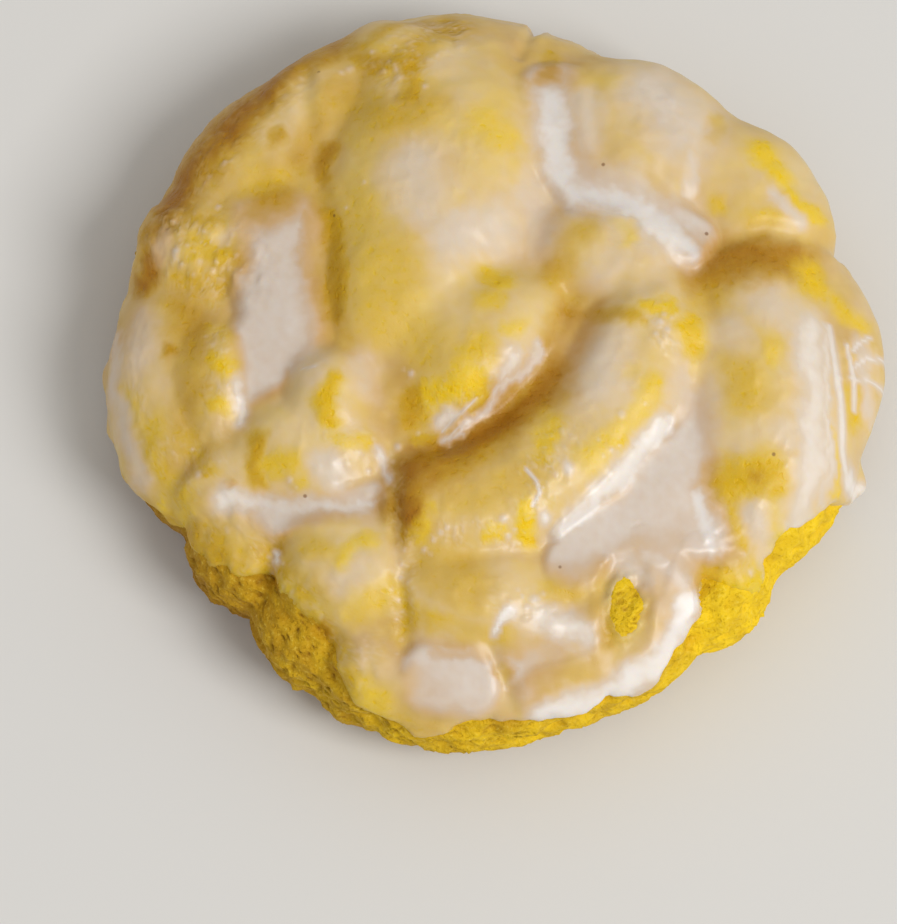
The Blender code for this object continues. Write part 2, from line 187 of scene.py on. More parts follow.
def noiseAt(points, size, seed, octaves=1):
    # smooth noise from about -1 to 1 whose lumps are this size
    offset = Vector((seed, seed * noiseSlant, -seed))
    places = [Vector(p) / size + offset for p in points]
    if octaves == 1:
        return np.array([noise.noise(p) for p in places])
    return np.array([noise.fractal(p, octaveFade, octaveGap, octaves) for p in places])


def strayAt(points, size, threeSeeds):
    # noise in three directions, which pulls a pattern out of line
    return np.stack([noiseAt(points, size, seed, octaves=2) for seed in threeSeeds], 1)


def nearestCell(points, size, seed):
    # how far the nearest of many scattered middles is, in cells of this size
    offset = Vector((seed, -seed, cellSlant * seed))
    return np.array([noise.voronoi(Vector(p) / size + offset)[0][0] for p in points])


def halfProfile():
    # the disc's cross-section from its top centre to its underside's centre, with its normals
    t = np.linspace(0.0, math.pi, 3 * form["profilePoints"])
    top = t <= math.pi / 2
    roundness = np.where(top, form["topRoundness"], form["undersideRoundness"])
    depth = np.where(top, form["discTop"] - form["widestAt"], form["widestAt"] + form["undersideDip"])
    reach = np.maximum(np.sin(t), 0.0) ** (2.0 / roundness)
    height = form["widestAt"] + depth * np.sign(np.cos(t)) * np.abs(np.cos(t)) ** (2.0 / roundness)
    meanRadius = np.mean([row[1] for row in form["outline"]])
    points = np.stack([reach * meanRadius, np.maximum(height, 0.0)], 1)
    run = np.concatenate([[0.0], np.cumsum(np.linalg.norm(np.diff(points, axis=0), axis=1))])
    even = np.linspace(0.0, run[-1], form["profilePoints"])
    points = np.stack([np.interp(even, run, points[:, i]) for i in (0, 1)], 1)
    alongIt = np.gradient(points, even, axis=0)
    normals = np.stack([-alongIt[:, 1], alongIt[:, 0]], 1)
    normals /= np.linalg.norm(normals, axis=1)[:, None]
    return even, points, normals, meanRadius


def ballOfQuads(name, cells):
    # a cube cut into a fine grid; its corners' directions are what the disc is then laid over
    bpy.ops.mesh.primitive_cube_add(size=2.0)
    ball = bpy.context.object
    ball.name = ball.data.name = name
    bpy.ops.object.mode_set(mode="EDIT")
    bpy.ops.mesh.select_all(action="SELECT")
    bpy.ops.mesh.subdivide(number_cuts=cells // 2 - 1)
    bpy.ops.mesh.subdivide(number_cuts=1)
    bpy.ops.object.mode_set(mode="OBJECT")
    corners = readPoints(ball)
    bulged = np.tan(corners * math.pi / 4)
    return ball, bulged / np.linalg.norm(bulged, axis=1)[:, None]


def readPoints(obj):
    flat = np.empty(len(obj.data.vertices) * 3)
    obj.data.vertices.foreach_get("co", flat)
    return flat.reshape(-1, 3)


def placePoints(obj, places):
    obj.data.vertices.foreach_set("co", (places * mm).ravel())
    obj.data.update()


def paintOn(obj, name, values):
    layer = obj.data.attributes.new(name, "FLOAT", "POINT")
    layer.data.foreach_set("value", np.asarray(values, np.float32))


def readPaint(obj, name):
    values = np.empty(len(obj.data.vertices), np.float32)
    obj.data.attributes[name].data.foreach_get("value", values)
    return values


def layOverDisc(directions, crowding):
    # the disc's points in these directions; crowding says how closely the points lie along the crust
    run, points, normals, meanRadius = halfProfile()
    closeness = np.interp(run, [row[0] for row in crowding], [row[1] for row in crowding])
    ring = closeness * (points[:, 0] + form["poleWidth"])
    share = np.concatenate([[0.0], np.cumsum((ring[1:] + ring[:-1]) / 2)])
    along = np.interp((1.0 - directions[:, 2]) / 2.0, share / share[-1], run)
    turn = np.arctan2(directions[:, 1], directions[:, 0])
    radius = np.interp(along, run, points[:, 0]) * roundTheClock(turn, form["outline"]) / meanRadius
    height = np.interp(along, run, points[:, 1])
    out = np.interp(along, run, normals[:, 0])
    up = np.interp(along, run, normals[:, 1])
    length = np.hypot(out, up)
    across = np.stack([np.cos(turn), np.sin(turn)], 1)
    point = np.column_stack([across * radius[:, None], height])
    normal = np.column_stack([across * (out / length)[:, None], up / length])
    warp = [noiseAt(point, form["warpSize"], seeds[name]) for name in ("warpX", "warpY")]
    return {
        "along": along,
        "turn": turn,
        "point": point,
        "normal": normal,
        "x": point[:, 0] + form["warpDepth"] * warp[0],
        "y": point[:, 1] + form["warpDepth"] * warp[1],
        "steepness": 1.0 - np.clip(normal[:, 2], 0.0, 1.0),
        "offFloor": smoothStep(form["fadeLow"], form["fadeHigh"], point[:, 2]),
    }


def movedOut(crust, height):
    places = crust["point"] + crust["normal"] * height[:, None]
    places[:, 2] = np.maximum(places[:, 2], 0.0)
    return places


def distanceInOval(x, y, oval):
    # 0 at the oval's middle, 1 on its edge
    middleX, middleY, halfLength, halfWidth, turn = oval
    c, s = math.cos(math.radians(turn)), math.sin(math.radians(turn))
    along = (x - middleX) * c + (y - middleY) * s
    across = (y - middleY) * c - (x - middleX) * s
    return np.hypot(along / halfLength, across / halfWidth)


def distanceToPath(x, y, path):
    if len(path) == 1:
        return np.hypot(x - path[0][0], y - path[0][1])
    nearest = np.full(len(x), np.inf)
    for (ax, ay), (bx, by) in zip(path, path[1:]):
        t = ((x - ax) * (bx - ax) + (y - ay) * (by - ay)) / ((bx - ax) ** 2 + (by - ay) ** 2)
        t = np.clip(t, 0.0, 1.0)
        nearest = np.minimum(nearest, np.hypot(x - ax - t * (bx - ax), y - ay - t * (by - ay)))
    return nearest


def strokeShare(x, y, path, halfWidth, softness):
    # 1 along the middle of a painted stroke, 0 beyond its soft edge
    distance = distanceToPath(x, y, path)
    return 1.0 - smoothStep(halfWidth * (1.0 - softness), halfWidth * (1.0 + softness), distance)


def strongest(x, y, strokes, softness):
    # how strong the strongest of these strokes is at each point
    share = np.zeros(len(x))
    for path, halfWidth, strength in strokes.values():
        share = np.maximum(share, strength * strokeShare(x, y, path, halfWidth, softness))
    return share


def lumpRelief(crust, crease, inset=0.0):
    relief = np.zeros(len(crust["x"]))
    for x, y, halfLength, halfWidth, turn, height in lumps.values():
        oval = (x, y, halfLength - inset, halfWidth - inset, turn)
        share = distanceInOval(crust["x"], crust["y"], oval)
        relief = smoothMax(relief, height * (1.0 - share**lumpPower), crease)
    share = distanceToPath(crust["x"], crust["y"], crescent["path"]) / (crescent["halfWidth"] - inset)
    return smoothMax(relief, crescent["height"] * (1.0 - share**lumpPower), crease)


def crackDepth(crust):
    depth = np.zeros(len(crust["x"]))
    for path, halfWidth, deep in cracks.values():
        share = distanceToPath(crust["x"], crust["y"], path) / halfWidth
        depth = np.maximum(depth, deep * (1.0 - smoothStep(0.0, 1.0, share)))
    return depth


# The glaze's edge: direction in degrees, how far it runs from the centre along the crust
glazeEdge = {
    "reach": [
        (-72, 36.2), (-62, 35.2), (-54, 33.2), (-48, 32.2), (-43, 35.2), (-37, 35.6), (-31, 34.4),
        (-22, 38.0), (-16, 44.0), (-10, 41.5), (0, 43.0), (30, 42.5), (60, 42.5), (82, 41.0), (100, 40.5),
        (125, 40.5), (147, 39.0), (157, 36.0), (165, 37.0), (173, 42.0), (190, 42.0), (202, 38.0),
        (213, 35.8), (222, 33.8), (230, 32.2), (238, 31.6), (246, 34.4), (255, 36.2), (262, 36.0),
        (270, 34.2), (279, 36.2),
    ],
    "waveSize": 5.0,
    "waveDepth": 1.3,
    # how far the rim is rubbed thin, so that the dough shows through: direction in degrees, share
    "thinRim": [
        (-60, 0.0), (-51, 0.0), (-46, 1.0), (-28, 1.0), (-21, 0.0), (60, 0.0), (120, 0.0), (188, 0.0),
        (200, 0.7), (210, 1.0), (244, 1.0), (255, 0.6), (264, 0.2), (272, 0.0),
    ],
    "thinRimWidth": 4.5,
    "thinRimLoss": 0.7,
    "bareSpots": {
        "crumbPatch": (12.1, -25.5, 2.8, 1.8, 70.0),
    },
    "bareSpotWaveShare": 0.4,
    "spotSlopeStart": -0.3,
    "spotSlopeEnd": 1.6,
}


def thinRimShare(crust, insideEdge):
    share = np.clip(roundTheClock(crust["turn"], glazeEdge["thinRim"]), 0.0, 1.0)
    return share * (1.0 - smoothStep(0.0, glazeEdge["thinRimWidth"], insideEdge))


def glazeCover(crust):
    # how far each point is inside the glaze's outer edge, and outside its bare spots
    wave = noiseAt(crust["point"], glazeEdge["waveSize"], seeds["edgeWave"], octaves=3)
    wave *= glazeEdge["waveDepth"]
    insideEdge = roundTheClock(crust["turn"], glazeEdge["reach"]) - crust["along"] + wave
    offSpots = np.full(len(wave), np.inf)
    for oval in glazeEdge["bareSpots"].values():
        share = distanceInOval(crust["x"], crust["y"], oval)
        offSpots = np.minimum(offSpots, (share - 1.0) * oval[3] + glazeEdge["bareSpotWaveShare"] * wave)
    return insideEdge, offSpots


# The dough; crowding says how closely its points lie, at distances along the crust from the top's middle
dough = {
    "cells": 124,
    "crowding": [(0, 0.25), (26, 0.3), (31, 1.0), (50, 1.0), (54, 0.35), (60, 0.12), (90, 0.1)],
    "crease": 0.8,
    "wallInset": 0.55,
    "cragSize": 3.4,
    "cragDepth": 0.55,
    "crumbSize": 1.35,
    "crumbDepth": 0.28,
    "glazedRoughShare": 0.25,
    "bareFrom": -1.0,
    "glazedFrom": 2.0,
    # the fine crumb of the bare dough, and how far inside the glaze's edge it is worked out and fades
    "fineUpTo": 0.8,
    "fineFade": (-0.4, 0.5),
    "clumpSize": 1.5,
    "clumpDepth": 0.132,
    "grainSize": 0.75,
    "grainDepth": 0.16,
    "cellMiddle": 0.45,
    "creviceSize": 2.2,
    "creviceWidth": 0.1,
    "creviceDepth": 0.3,
    "creviceShade": (0.2, 0.4),
    "straySize": 1.4,
    "clumpStray": 0.5,
    "grainStray": 0.3,
    "creviceStray": 0.4,
    "crumblySize": 5.0,
    "crumblyShare": 0.3,
    # the crumb heaped up in and around the glaze's bare spot: height, where it starts and where it is full
    "patchMound": 1.3,
    "patchMoundReach": 2.4,
    "patchMoundFull": -0.2,
    # where the bare dough is loose and deeply cracked: points along the middle, half width, share
    "looseCrumb": {
        "lowerLeft": ([(-26.0, -20.0), (-21.0, -25.0), (-16.0, -30.5), (-10.0, -35.0)], 5.0, 1.0),
        "bottom": ([(-8.0, -38.0), (4.0, -38.5)], 2.2, 0.8),
        "lowerRight": ([(18.6, -27.0), (24.0, -20.0)], 1.6, 0.5),
        "crumbPatch": ([(12.1, -26.1), (12.1, -24.9)], 2.0, 1.0),
    },
    # how toasted the side is all round, with painted shade making the left side darkest: direction in
    # degrees, share
    "toastAndShade": [
        (-150, 1.0), (-135, 1.0), (-120, 0.8), (-105, 0.6), (-90, 0.5), (-75, 0.42), (-62, 0.25),
        (-45, 0.1), (-25, 0.15), (0, 0.4), (60, 0.6), (120, 0.8), (180, 0.9),
    ],
    "toastSize": 6.0,
    "toastDrift": 0.25,
    "toastFineSize": 1.8,
    "toastFineDrift": 0.22,
    # how high the browned foot reaches, with painted shade taking it highest on the left: direction in
    # degrees, height
    "footHeight": [
        (-150, 12.0), (-138, 11.0), (-120, 4.5), (-90, 4.0), (-45, 3.5), (0, 4.0), (90, 4.0), (170, 8.0),
    ],
    "footFade": (0.1, 1.0),
}


def crumbRelief(crust, cover):
    bare = 1.0 - smoothStep(dough["bareFrom"], dough["glazedFrom"], cover)
    crags = 0.5 - 2.0 * np.abs(noiseAt(crust["point"], dough["cragSize"], seeds["crags"], octaves=3))
    crumbs = noiseAt(crust["point"], dough["crumbSize"], seeds["crumbs"], octaves=2)
    roughShare = dough["glazedRoughShare"] + (1.0 - dough["glazedRoughShare"]) * bare
    return (dough["cragDepth"] * crags + dough["crumbDepth"] * crumbs) * roughShare


def fineCrumb(crust, cover):
    # what only the bare dough shows: soft clumps and grain, and thin crevices where it is loose, with painted
    # shade darkening the crevices and the gaps between the clumps
    height, hollowShade, loose = np.zeros(len(cover)), np.zeros(len(cover)), np.zeros(len(cover))
    shown = np.flatnonzero(cover < dough["fineUpTo"])
    place, x, y = crust["point"][shown], crust["x"][shown], crust["y"][shown]
    bare = 1.0 - smoothStep(*dough["fineFade"], cover[shown])
    stray = strayAt(place, dough["straySize"], seeds["doughStray"])
    clump = nearestCell(place + dough["clumpStray"] * stray, dough["clumpSize"], seeds["clumps"])
    grain = nearestCell(place + dough["grainStray"] * stray, dough["grainSize"], seeds["grain"])
    drift = noiseAt(place, dough["crumblySize"], seeds["crumbly"], octaves=2)
    crumbly = smoothStep(0.0, 0.5, drift) * dough["crumblyShare"]
    crumbly = np.maximum(crumbly, strongest(x, y, dough["looseCrumb"], 0.5))
    seams = noiseAt(place + dough["creviceStray"] * stray, dough["creviceSize"], seeds["crevices"], octaves=3)
    crevice = (1.0 - smoothStep(0.0, dough["creviceWidth"], np.abs(seams))) * crumbly
    rise = dough["clumpDepth"] * (dough["cellMiddle"] - clump) * (1.0 + crumbly)
    rise += dough["grainDepth"] * (dough["cellMiddle"] - grain)
    height[shown] = (rise - dough["creviceDepth"] * crevice) * bare
    # painted shade: the crevices and the gaps between clumps are darkened
    shade = dough["creviceShade"][0] + dough["creviceShade"][1] * crumbly
    hollowShade[shown] = np.clip(shade * crevice + 0.5 * (clump - 0.5), 0.0, 1.0) * bare
    loose[shown] = crumbly
    return height, hollowShade, loose


def doughHeight(crust, cover, offSpots):
    relief = lumpRelief(crust, dough["crease"], dough["wallInset"]) - crackDepth(crust)
    mound = dough["patchMound"] * smoothStep(dough["patchMoundReach"], dough["patchMoundFull"], offSpots)
    return (relief + crumbRelief(crust, cover) + mound) * crust["offFloor"]


# The glaze, a sheet with a milk and a brown tone painted on its points; the milk holds painted highlights
# too, and the brown painted shade
glaze = {
    "cells": 132,
    "crowding": [(0, 1.0), (40, 1.0), (45, 0.6), (48, 0.05), (90, 0.02)],
    "film": 0.8,
    "lipWidth": 1.4,
    # outside its edge the sheet dives under the dough, and is cut off at this distance
    "dive": 1.6,
    "diveWidth": 1.2,
    "cutOff": -0.9,
    "backing": 0.3,
    "innerGap": 0.15,
    "insideFaces": 22000,
    # how it lies in the hollows and the pools
    "hollowFill": 2.4,
    "crackShare": 0.6,
    "poolBlend": 2.6,
    "poolLevel": 0.9,
    "poolDrain": 7.0,
    "poolFullShare": 0.8,
    "poolEndShare": 1.9,
    "poolRim": -0.6,
    "poolDeep": 1.9,
    "poolEdgeSize": 3.2,
    "poolEdgeDrift": 0.5,
    # its own waves, and the wrinkles, small blisters and clods of the places that set first, with the painted
    # highlights (glints) on them
    "waveSize": 4.6,
    "waveDepth": 0.16,
    "bumpSize": 2.4,
    "bumpDepth": 0.13,
    "straySize": 1.3,
    "patchSize": 2.1,
    "patchFade": (-0.35, 0.4),
    "crinkleSoftness": 0.8,
    "wrinkleSize": 0.75,
    "wrinkleDepth": 0.13,
    "wrinkleWidth": 0.4,
    "wrinkleStray": 0.6,
    "wrinkleGlint": 0.3,
    "blisterSize": 1.05,
    "blisterDepth": 0.2,
    "blisterFade": (0.05, 0.5),
    "blisterStray": 0.5,
    "blisterGlint": 0.35,
    "blistersLost": 0.6,
    "clodSize": 2.1,
    "clodDepth": 0.4,
    "clodFade": (0.1, 0.8),
    "clodStray": 0.6,
    "clodSoftness": 0.7,
    "beadSpread": 1.3,
    "beadStray": 0.25,
    "beadGlint": 4.0,
    "beadGlintMost": 0.95,
    # how milky the film over the lumps is, and how far that drifts over it
    "filmMilk": 0.5,
    "cloudSize": 8.5,
    "cloudMilk": 0.12,
    "wispSize": 2.8,
    "wispMilk": 0.07,
    "mottleSize": 0.9,
    "mottleMilk": 0.035,
    # how much of the browned dough shows through the film
    "filmBrown": 0.16,
    "cloudBrown": -0.1,
    "wispBrown": 0.08,
    # painted shade: more of the browned dough shows in creases, up to this height over the disc's top, and
    # most of all on walls that face this way, away from the light
    "creaseLow": 0.4,
    "creaseHigh": 3.4,
    "creaseBlend": 1.6,
    "creaseShadeBrown": 0.62,
    "creaseShadeMilk": -0.14,
    "creaseWisps": 0.35,
    "openCreaseShare": 0.45,
    "steepCreaseLoss": 0.5,
    "shadedWallWay": (-0.85, 0.53),
    "wallStep": 0.7,
    "wallRise": 1.5,
    # the thinned rim, and the strokes of thin and of milky glaze
    "rimThin": 0.85,
    "rimWisps": 0.5,
    "rimBrown": 0.55,
    "brushSize": 2.4,
    "brushDrift": 0.7,
    "brushFineSize": 0.8,
    "brushFineDrift": 0.35,
    "strokeSoftness": 0.95,
    "thinSpread": 1.1,
    "thinWisps": 0.18,
    "thinMottle": 0.1,
    "thinClears": 0.93,
    "threadMilk": 0.85,
    "threadSpread": 1.4,
    "threadSoftness": 0.8,
    "poolMilk": 0.82,
    "poolShade": 0.7,
    "poolTone": 0.9,
}

# Drips on the side: direction in degrees, distance along the crust, half size, extra thickness
drips = {
    "rightDrip": (-15.5, 41.6, 2.6, 1.3),
    "leftScallopFar": (170.0, 40.5, 2.4, 0.5),
    "leftScallopUpper": (178.5, 41.0, 2.8, 0.7),
    "leftScallopLower": (187.5, 41.0, 2.6, 0.6),
    "leftScallopNear": (195.5, 40.0, 2.2, 0.5),
}

# Where the glaze is thin and the dough shows: points along the middle, half width, how thin, how brown; the
# wall, crease, shade, halo and shadow strokes are painted shade, and the rim strokes are partly painted shade
thinSpots = {
    "topGold": ([(-4.0, 34.7), (-6.7, 31.9), (-9.2, 29.7), (-11.1, 29.3)], 1.5, 0.6, 0.6),
    "topGoldDark": ([(-8.0, 29.4), (-8.3, 25.4)], 0.9, 0.85, 0.6),
    "topGoldLeft": ([(-12.9, 30.5), (-11.3, 29.7)], 0.9, 0.75, 0.65),
    "topEdge": ([(-13.9, 31.7), (-9.2, 34.2), (-4.2, 36.2)], 0.6, 0.5, 0.7),
    "domeShade": ([(-13.9, 25.7), (-9.9, 22.5), (-6.4, 24.3)], 2, 0.5, 0.6),
    "domeLeftGlow": ([(-13.4, 22.2), (-12.2, 18.4)], 1.9, 0.35, 0.25),
    "domeLeftUpperStreak": ([(-16.0, 20.8), (-16.9, 17.8)], 0.8, 0.75, 0.85),
    # painted shade on the big dome's left wall
    "domeLeftWallShade": ([(-15.9, 13.3), (-15.5, 8.7), (-15.4, 3.4)], 1.1, 1, 0.8),
    "domeLeftHalo": ([(-16.2, 15.4), (-16.2, 8.9), (-15.3, 1.6)], 2, 0.45, 0.5),
    "domeLeftColumn": ([(-13.8, 16.9), (-12.8, 9.3), (-11.6, 2.2)], 2.2, 0.42, 0.12),
    "domeShoulderWash": ([(-9.9, 9.0), (-9.1, 3.0), (-6.2, -0.5)], 2.4, 0.4, 0.3),
    "domeYellow": ([(-1.3, 22.6), (0.9, 20.9)], 1.5, 0.5, 0),
    "domeFarYellow": ([(3.5, 26.0), (4.7, 22.2)], 1, 0.4, 0),
    "domeLowYellow": ([(2.5, 17.7)], 0.9, 0.5, 0),
    "domeYellowWisp": ([(-5.2, 13.3), (-3.4, 14.1)], 0.7, 0.4, 0),
    "tongueTop": ([(-0.6, 7.3), (0.7, 6.6)], 1.1, 0.9, 0.15),
    "tongueTopTail": ([(0.1, 4.4), (-0.9, 3.5)], 0.9, 0.55, 0.1),
    "tongueSpot": ([(2.0, 1.3)], 0.8, 0.6, 0),
    "tongueWash": ([(-1.1, -0.3), (-2.9, -2.8)], 1.5, 0.55, 0.2),
    "tongueYellow": ([(-6.4, -5.8), (-4.0, -5.4), (-1.5, -4.6)], 1.7, 1, 0),
    "tongueLeft": ([(-8.0, -4.9), (-8.0, -7.6)], 0.8, 0.85, 0.6),
    "tongueFoot": ([(-7.2, -9.1), (-4.8, -8.9)], 0.7, 0.7, 0.1),
    "crestOrange": ([(-15.7, -4.2), (-16.4, -6.2), (-15.8, -7.7)], 0.9, 1, 0.25),
    "crestFoot": ([(-15.1, -9.6), (-12.4, -9.9)], 0.8, 0.6, 0),
    # painted shade on the left dome's wall
    "leftDomeWallShade": ([(-22.7, -9.4), (-23.0, -13.3)], 0.9, 0.85, 0.6),
    "leftDomeYellow": ([(-21.6, -12.2), (-19.7, -12.1)], 0.8, 0.7, 0.1),
    "leftDomeFoot": ([(-18.7, -13.8)], 0.6, 0.5, 0),
    "shelfUpper": ([(-27.4, -1.4), (-25.7, -2.6)], 0.9, 0.95, 0.05),
    "shelfLower": ([(-27.4, -5.5), (-25.7, -6.0)], 0.8, 0.95, 0),
    "shelfTop": ([(-27.9, 2.2), (-25.7, 1.1)], 0.6, 0.5, 0.1),
    "crumbsTop": ([(-32.7, 12.0), (-30.0, 13.4), (-27.2, 13.8)], 1.1, 0.6, 0.45),
    "crumbsMiddle": ([(-29.1, 10.5), (-27.2, 9.7), (-25.2, 9.0)], 1.3, 0.75, 0.35),
    "crumbsLow": ([(-30.9, 7.6), (-28.3, 7.1), (-26.2, 6.9)], 1.1, 0.6, 0.45),
    "crumbsLeft": ([(-33.7, 11.0), (-34.1, 9.5)], 0.8, 0.7, 0.6),
    "crumbsSpot": ([(-27.5, 14.0)], 0.6, 0.8, 0.5),
    "rimLeftBrown": ([(-33.5, 9.7), (-34.5, 7.8)], 1.0, 0.9, 1),
    "rimUpperLeft": ([(-32.8, 13.8), (-30.1, 18.6), (-26.5, 23.3), (-22.3, 28.2)], 2, 0.9, 1),
    "rimTop": ([(-20.6, 30.0), (-16.2, 32.3)], 1.8, 0.75, 1),
    "rimSpots": ([(-21.4, 22.1)], 0.7, 0.6, 0.8),
    "rimSpotsLow": ([(-24.9, 24.2)], 0.5, 0.7, 0.9),
    "ribTan": ([(-19.0, 19.5), (-17.3, 24.0), (-16.1, 27.1)], 1.3, 0.4, 0.75),
    "poolTopTint": ([(-22.7, 15.0), (-20.7, 16.2)], 2.0, 0.75, 0.15),
    "poolSideTint": ([(-18.5, 13.8), (-17.9, 7.5)], 0.7, 0.45, 0.3),
    "leftSmear": ([(-35.7, -3.3), (-35.0, -6.6)], 0.7, 0.6, 0.1),
    "leftLowSmear": ([(-33.5, -7.4), (-32.7, -11.7), (-30.3, -14.4)], 1.3, 0.6, 0.15),
    "leftInnerSmear": ([(-29.5, -8.7), (-27.8, -12.1)], 0.9, 0.55, 0.25),
    "leftShelfTan": ([(-30.3, 4.9), (-29.6, -0.1), (-28.9, -5.3)], 1.7, 0.5, 0.75),
    "leftShelfSpot": ([(-31.7, 0.2)], 0.7, 0.8, 0.9),
    "leftLowTan": ([(-30.5, -7.2), (-29.3, -9.6)], 1.2, 0.35, 0.6),
    "leftCrack": ([(-30.0, -13.8), (-30.1, -15.8)], 0.5, 0.9, 0.1),
    "leftCrackEnd": ([(-32.4, -14.2)], 0.5, 0.85, 0),
    "beadShade": ([(-28.0, -12.6)], 0.4, 0.85, 0.5),
    "beadShadeTop": ([(-28.7, -9.9)], 0.4, 0.75, 0.4),
    "channelSpeck": ([(-25.7, -13.9)], 0.4, 0.7, 0.9),
    "beanYellow": ([(12.6, 12.7), (13.6, 10.7)], 0.9, 0.85, 0),
    "beanLeftTan": ([(6.1, 7.7), (7.1, 10.6), (9.5, 12.0)], 1.3, 0.5, 0.6),
    "beanRightTan": ([(15.8, 11.6), (17.1, 9.8)], 0.8, 0.3, 0.4),
    "crescentTopCrease": ([(7.1, 3.4), (10.6, 2.9), (14.0, 2.3)], 0.6, 0.7, 0.6),
    "crescentTopYellow": ([(15.2, 3.3), (17.2, 3.6)], 0.7, 0.85, 0.1),
    # painted shade down the crescent's left wall
    "crescentShadeTop": ([(7.9, 2.3), (6.9, -0.3), (5.9, -3.0)], 1.8, 0.75, 0.9),
    "crescentShadeMiddle": ([(4.8, -4.2), (1.7, -6.8)], 2.3, 0.75, 1),
    "crescentShadeDark": ([(0.1, -8.2), (-2.9, -10.5), (-5.4, -12.3)], 2.3, 0.85, 1),
    "crescentShadeLow": ([(-7.9, -13.0), (-8.5, -15.8), (-8.1, -18.1)], 1.7, 0.9, 1),
    "crescentHalo": (
        [(9.4, 1.8), (8.2, -2.0), (6.4, -5.8), (2.5, -10.1), (-1.3, -13.3), (-5.2, -16.4)],
        1.4, 0.15, 0.6,
    ),
    "crescentGold": ([(5.6, -8.0), (4.6, -11.8)], 1.0, 0.7, 0.1),
    "crescentLowTan": ([(3.4, -13.4), (0.4, -15.4), (-3.2, -16.4)], 1.8, 0.4, 0.6),
    "crescentLowYellow": ([(2.9, -16.8), (3.1, -19.3)], 0.8, 0.95, 0),
    "crescentLeftYellow": ([(-7.3, -19.9), (-6.9, -18.4)], 0.7, 0.85, 0.1),
    "crescentLeftSpot": ([(-6.0, -17.1)], 0.7, 0.6, 0.1),
    "crescentFootYellow": ([(-0.7, -19.4), (0.8, -19.3)], 0.6, 0.85, 0),
    "crescentRightYellow": ([(15.6, -4.6), (14.2, -7.3), (11.8, -9.8), (9.3, -12.1)], 1.0, 0.55, 0),
    "crescentRightBits": ([(11.4, -11.0), (12.6, -10.1)], 0.6, 0.7, 0.1),
    "crescentSpot": ([(13.4, -3.4)], 0.8, 0.45, 0),
    "notchGold": ([(6.0, 30.9), (5.4, 28.5)], 0.8, 0.7, 0.5),
    "farDomeYellow": ([(11.8, 28.3), (9.6, 27.6)], 1.4, 0.45, 0.1),
    "farDomeTan": ([(10.5, 20.3), (11.7, 19.4)], 1.4, 0.35, 0.4),
    "farDomeCrumb": ([(15.4, 17.4), (16.6, 16.3)], 0.7, 0.5, 0.5),
    "wedgeYellow": ([(26.2, 21.4), (28.4, 18.2)], 1.0, 0.85, 0),
    "wedgeStreak": ([(29.3, 17.0), (31.1, 15.2), (32.7, 14.5)], 0.5, 0.75, 0),
    "wedgeLeft": ([(22.1, 24.5), (21.6, 22.4)], 0.7, 0.6, 0.4),
    "wedgeSpot": ([(22.2, 14.9)], 0.8, 0.7, 0.2),
    "wedgeFoot": ([(25.5, 13.4), (27.7, 13.5)], 0.8, 0.5, 0.2),
    # painted shade in the crease along the long right lump's top
    "longRightCreaseShadeWide": ([(20.4, 8.4), (25.0, 9.6), (29.5, 9.4)], 2, 0.75, 1),
    "longRightCreaseShade": ([(20.7, 9.3), (23.7, 10.2), (26.7, 10.6), (29.8, 10.9)], 0.9, 0.55, 1),
    "longRightShade": ([(20.3, 7.4), (23.7, 8.0), (28.1, 8.5)], 1.6, 0.45, 0.9),
    "longRightTan": ([(21.4, 5.8), (20.2, 4.2)], 1.4, 0.45, 0.6),
    "longRightTopYellow": ([(31.0, 8.9), (31.6, 7.0)], 1.2, 0.9, 0.1),
    "longRightEdgeYellow": ([(33.5, 5.9), (34.9, 4.4), (36.3, 3.8)], 0.8, 0.7, 0),
    "longRightWedge": ([(19.1, 1.8), (19.5, -0.4)], 1.1, 0.9, 0.2),
    "longRightWedgeTail": ([(19.7, -2.1), (19.9, -4.0)], 0.5, 0.6, 0.1),
    "longRightGold": ([(27.5, 0.5), (27.2, -1.8)], 0.9, 0.5, 0.1),
    "longRightMiddle": ([(23.9, -2.4), (25.0, -5.5)], 1.8, 0.5, 0.45),
    "longRightYellow": ([(22.3, -13.8), (24.6, -13.4), (27.0, -12.5)], 1.8, 1, 0.3),
    "longRightDark": ([(25.5, -13.1)], 0.6, 0.8, 0.7),
    "longRightFoot": ([(23.3, -16.5), (23.8, -18.9)], 0.8, 0.75, 0.25),
    "pinholes": ([(25.8, -18.8), (27.3, -18.7)], 0.7, 0.5, 0.1),
    "rightLine": ([(33.0, -7.8), (33.3, -14.0)], 0.2, 0.8, 0),
    "stripWindowSmall": ([(35.1, 0.6), (35.2, -0.3)], 0.5, 0.8, 0.1),
    "stripWindow": ([(35.1, -3.0), (35.2, -6.1)], 0.7, 0.8, 0.2),
    "stripYellow": ([(36.9, 2.4), (37.2, -1.5), (37.2, -5.7)], 0.6, 0.3, 0),
    "nearDomeTop": ([(-4.0, -22.4), (-2.3, -25.5)], 2.2, 0.45, 0.75),
    "nearDomeLeft": ([(-6.6, -21.7), (-5.2, -23.9)], 1.4, 0.4, 0.45),
    "nearDomeYellow": ([(-6.3, -27.3), (-3.3, -28.7), (1.1, -29.2)], 0.9, 0.75, 0.3),
    "nearDomeLine": ([(-5.2, -30.2), (-1.3, -30.6), (2.5, -30.0)], 0.5, 0.3, 0.3),
    "nearDomeRight": ([(4.9, -24.4), (7.8, -24.7)], 0.9, 0.45, 0.3),
    "creviceYellow": ([(-8.8, -24.9), (-7.9, -26.6), (-8.6, -28.9)], 0.8, 0.75, 0.35),
    "nearLeftYellow": ([(-14.7, -21.8), (-13.9, -20.8), (-12.3, -20.3)], 0.9, 0.85, 0),
    "nearLeftTop": ([(-17.7, -20.4), (-15.8, -20.2)], 0.9, 0.45, 0.3),
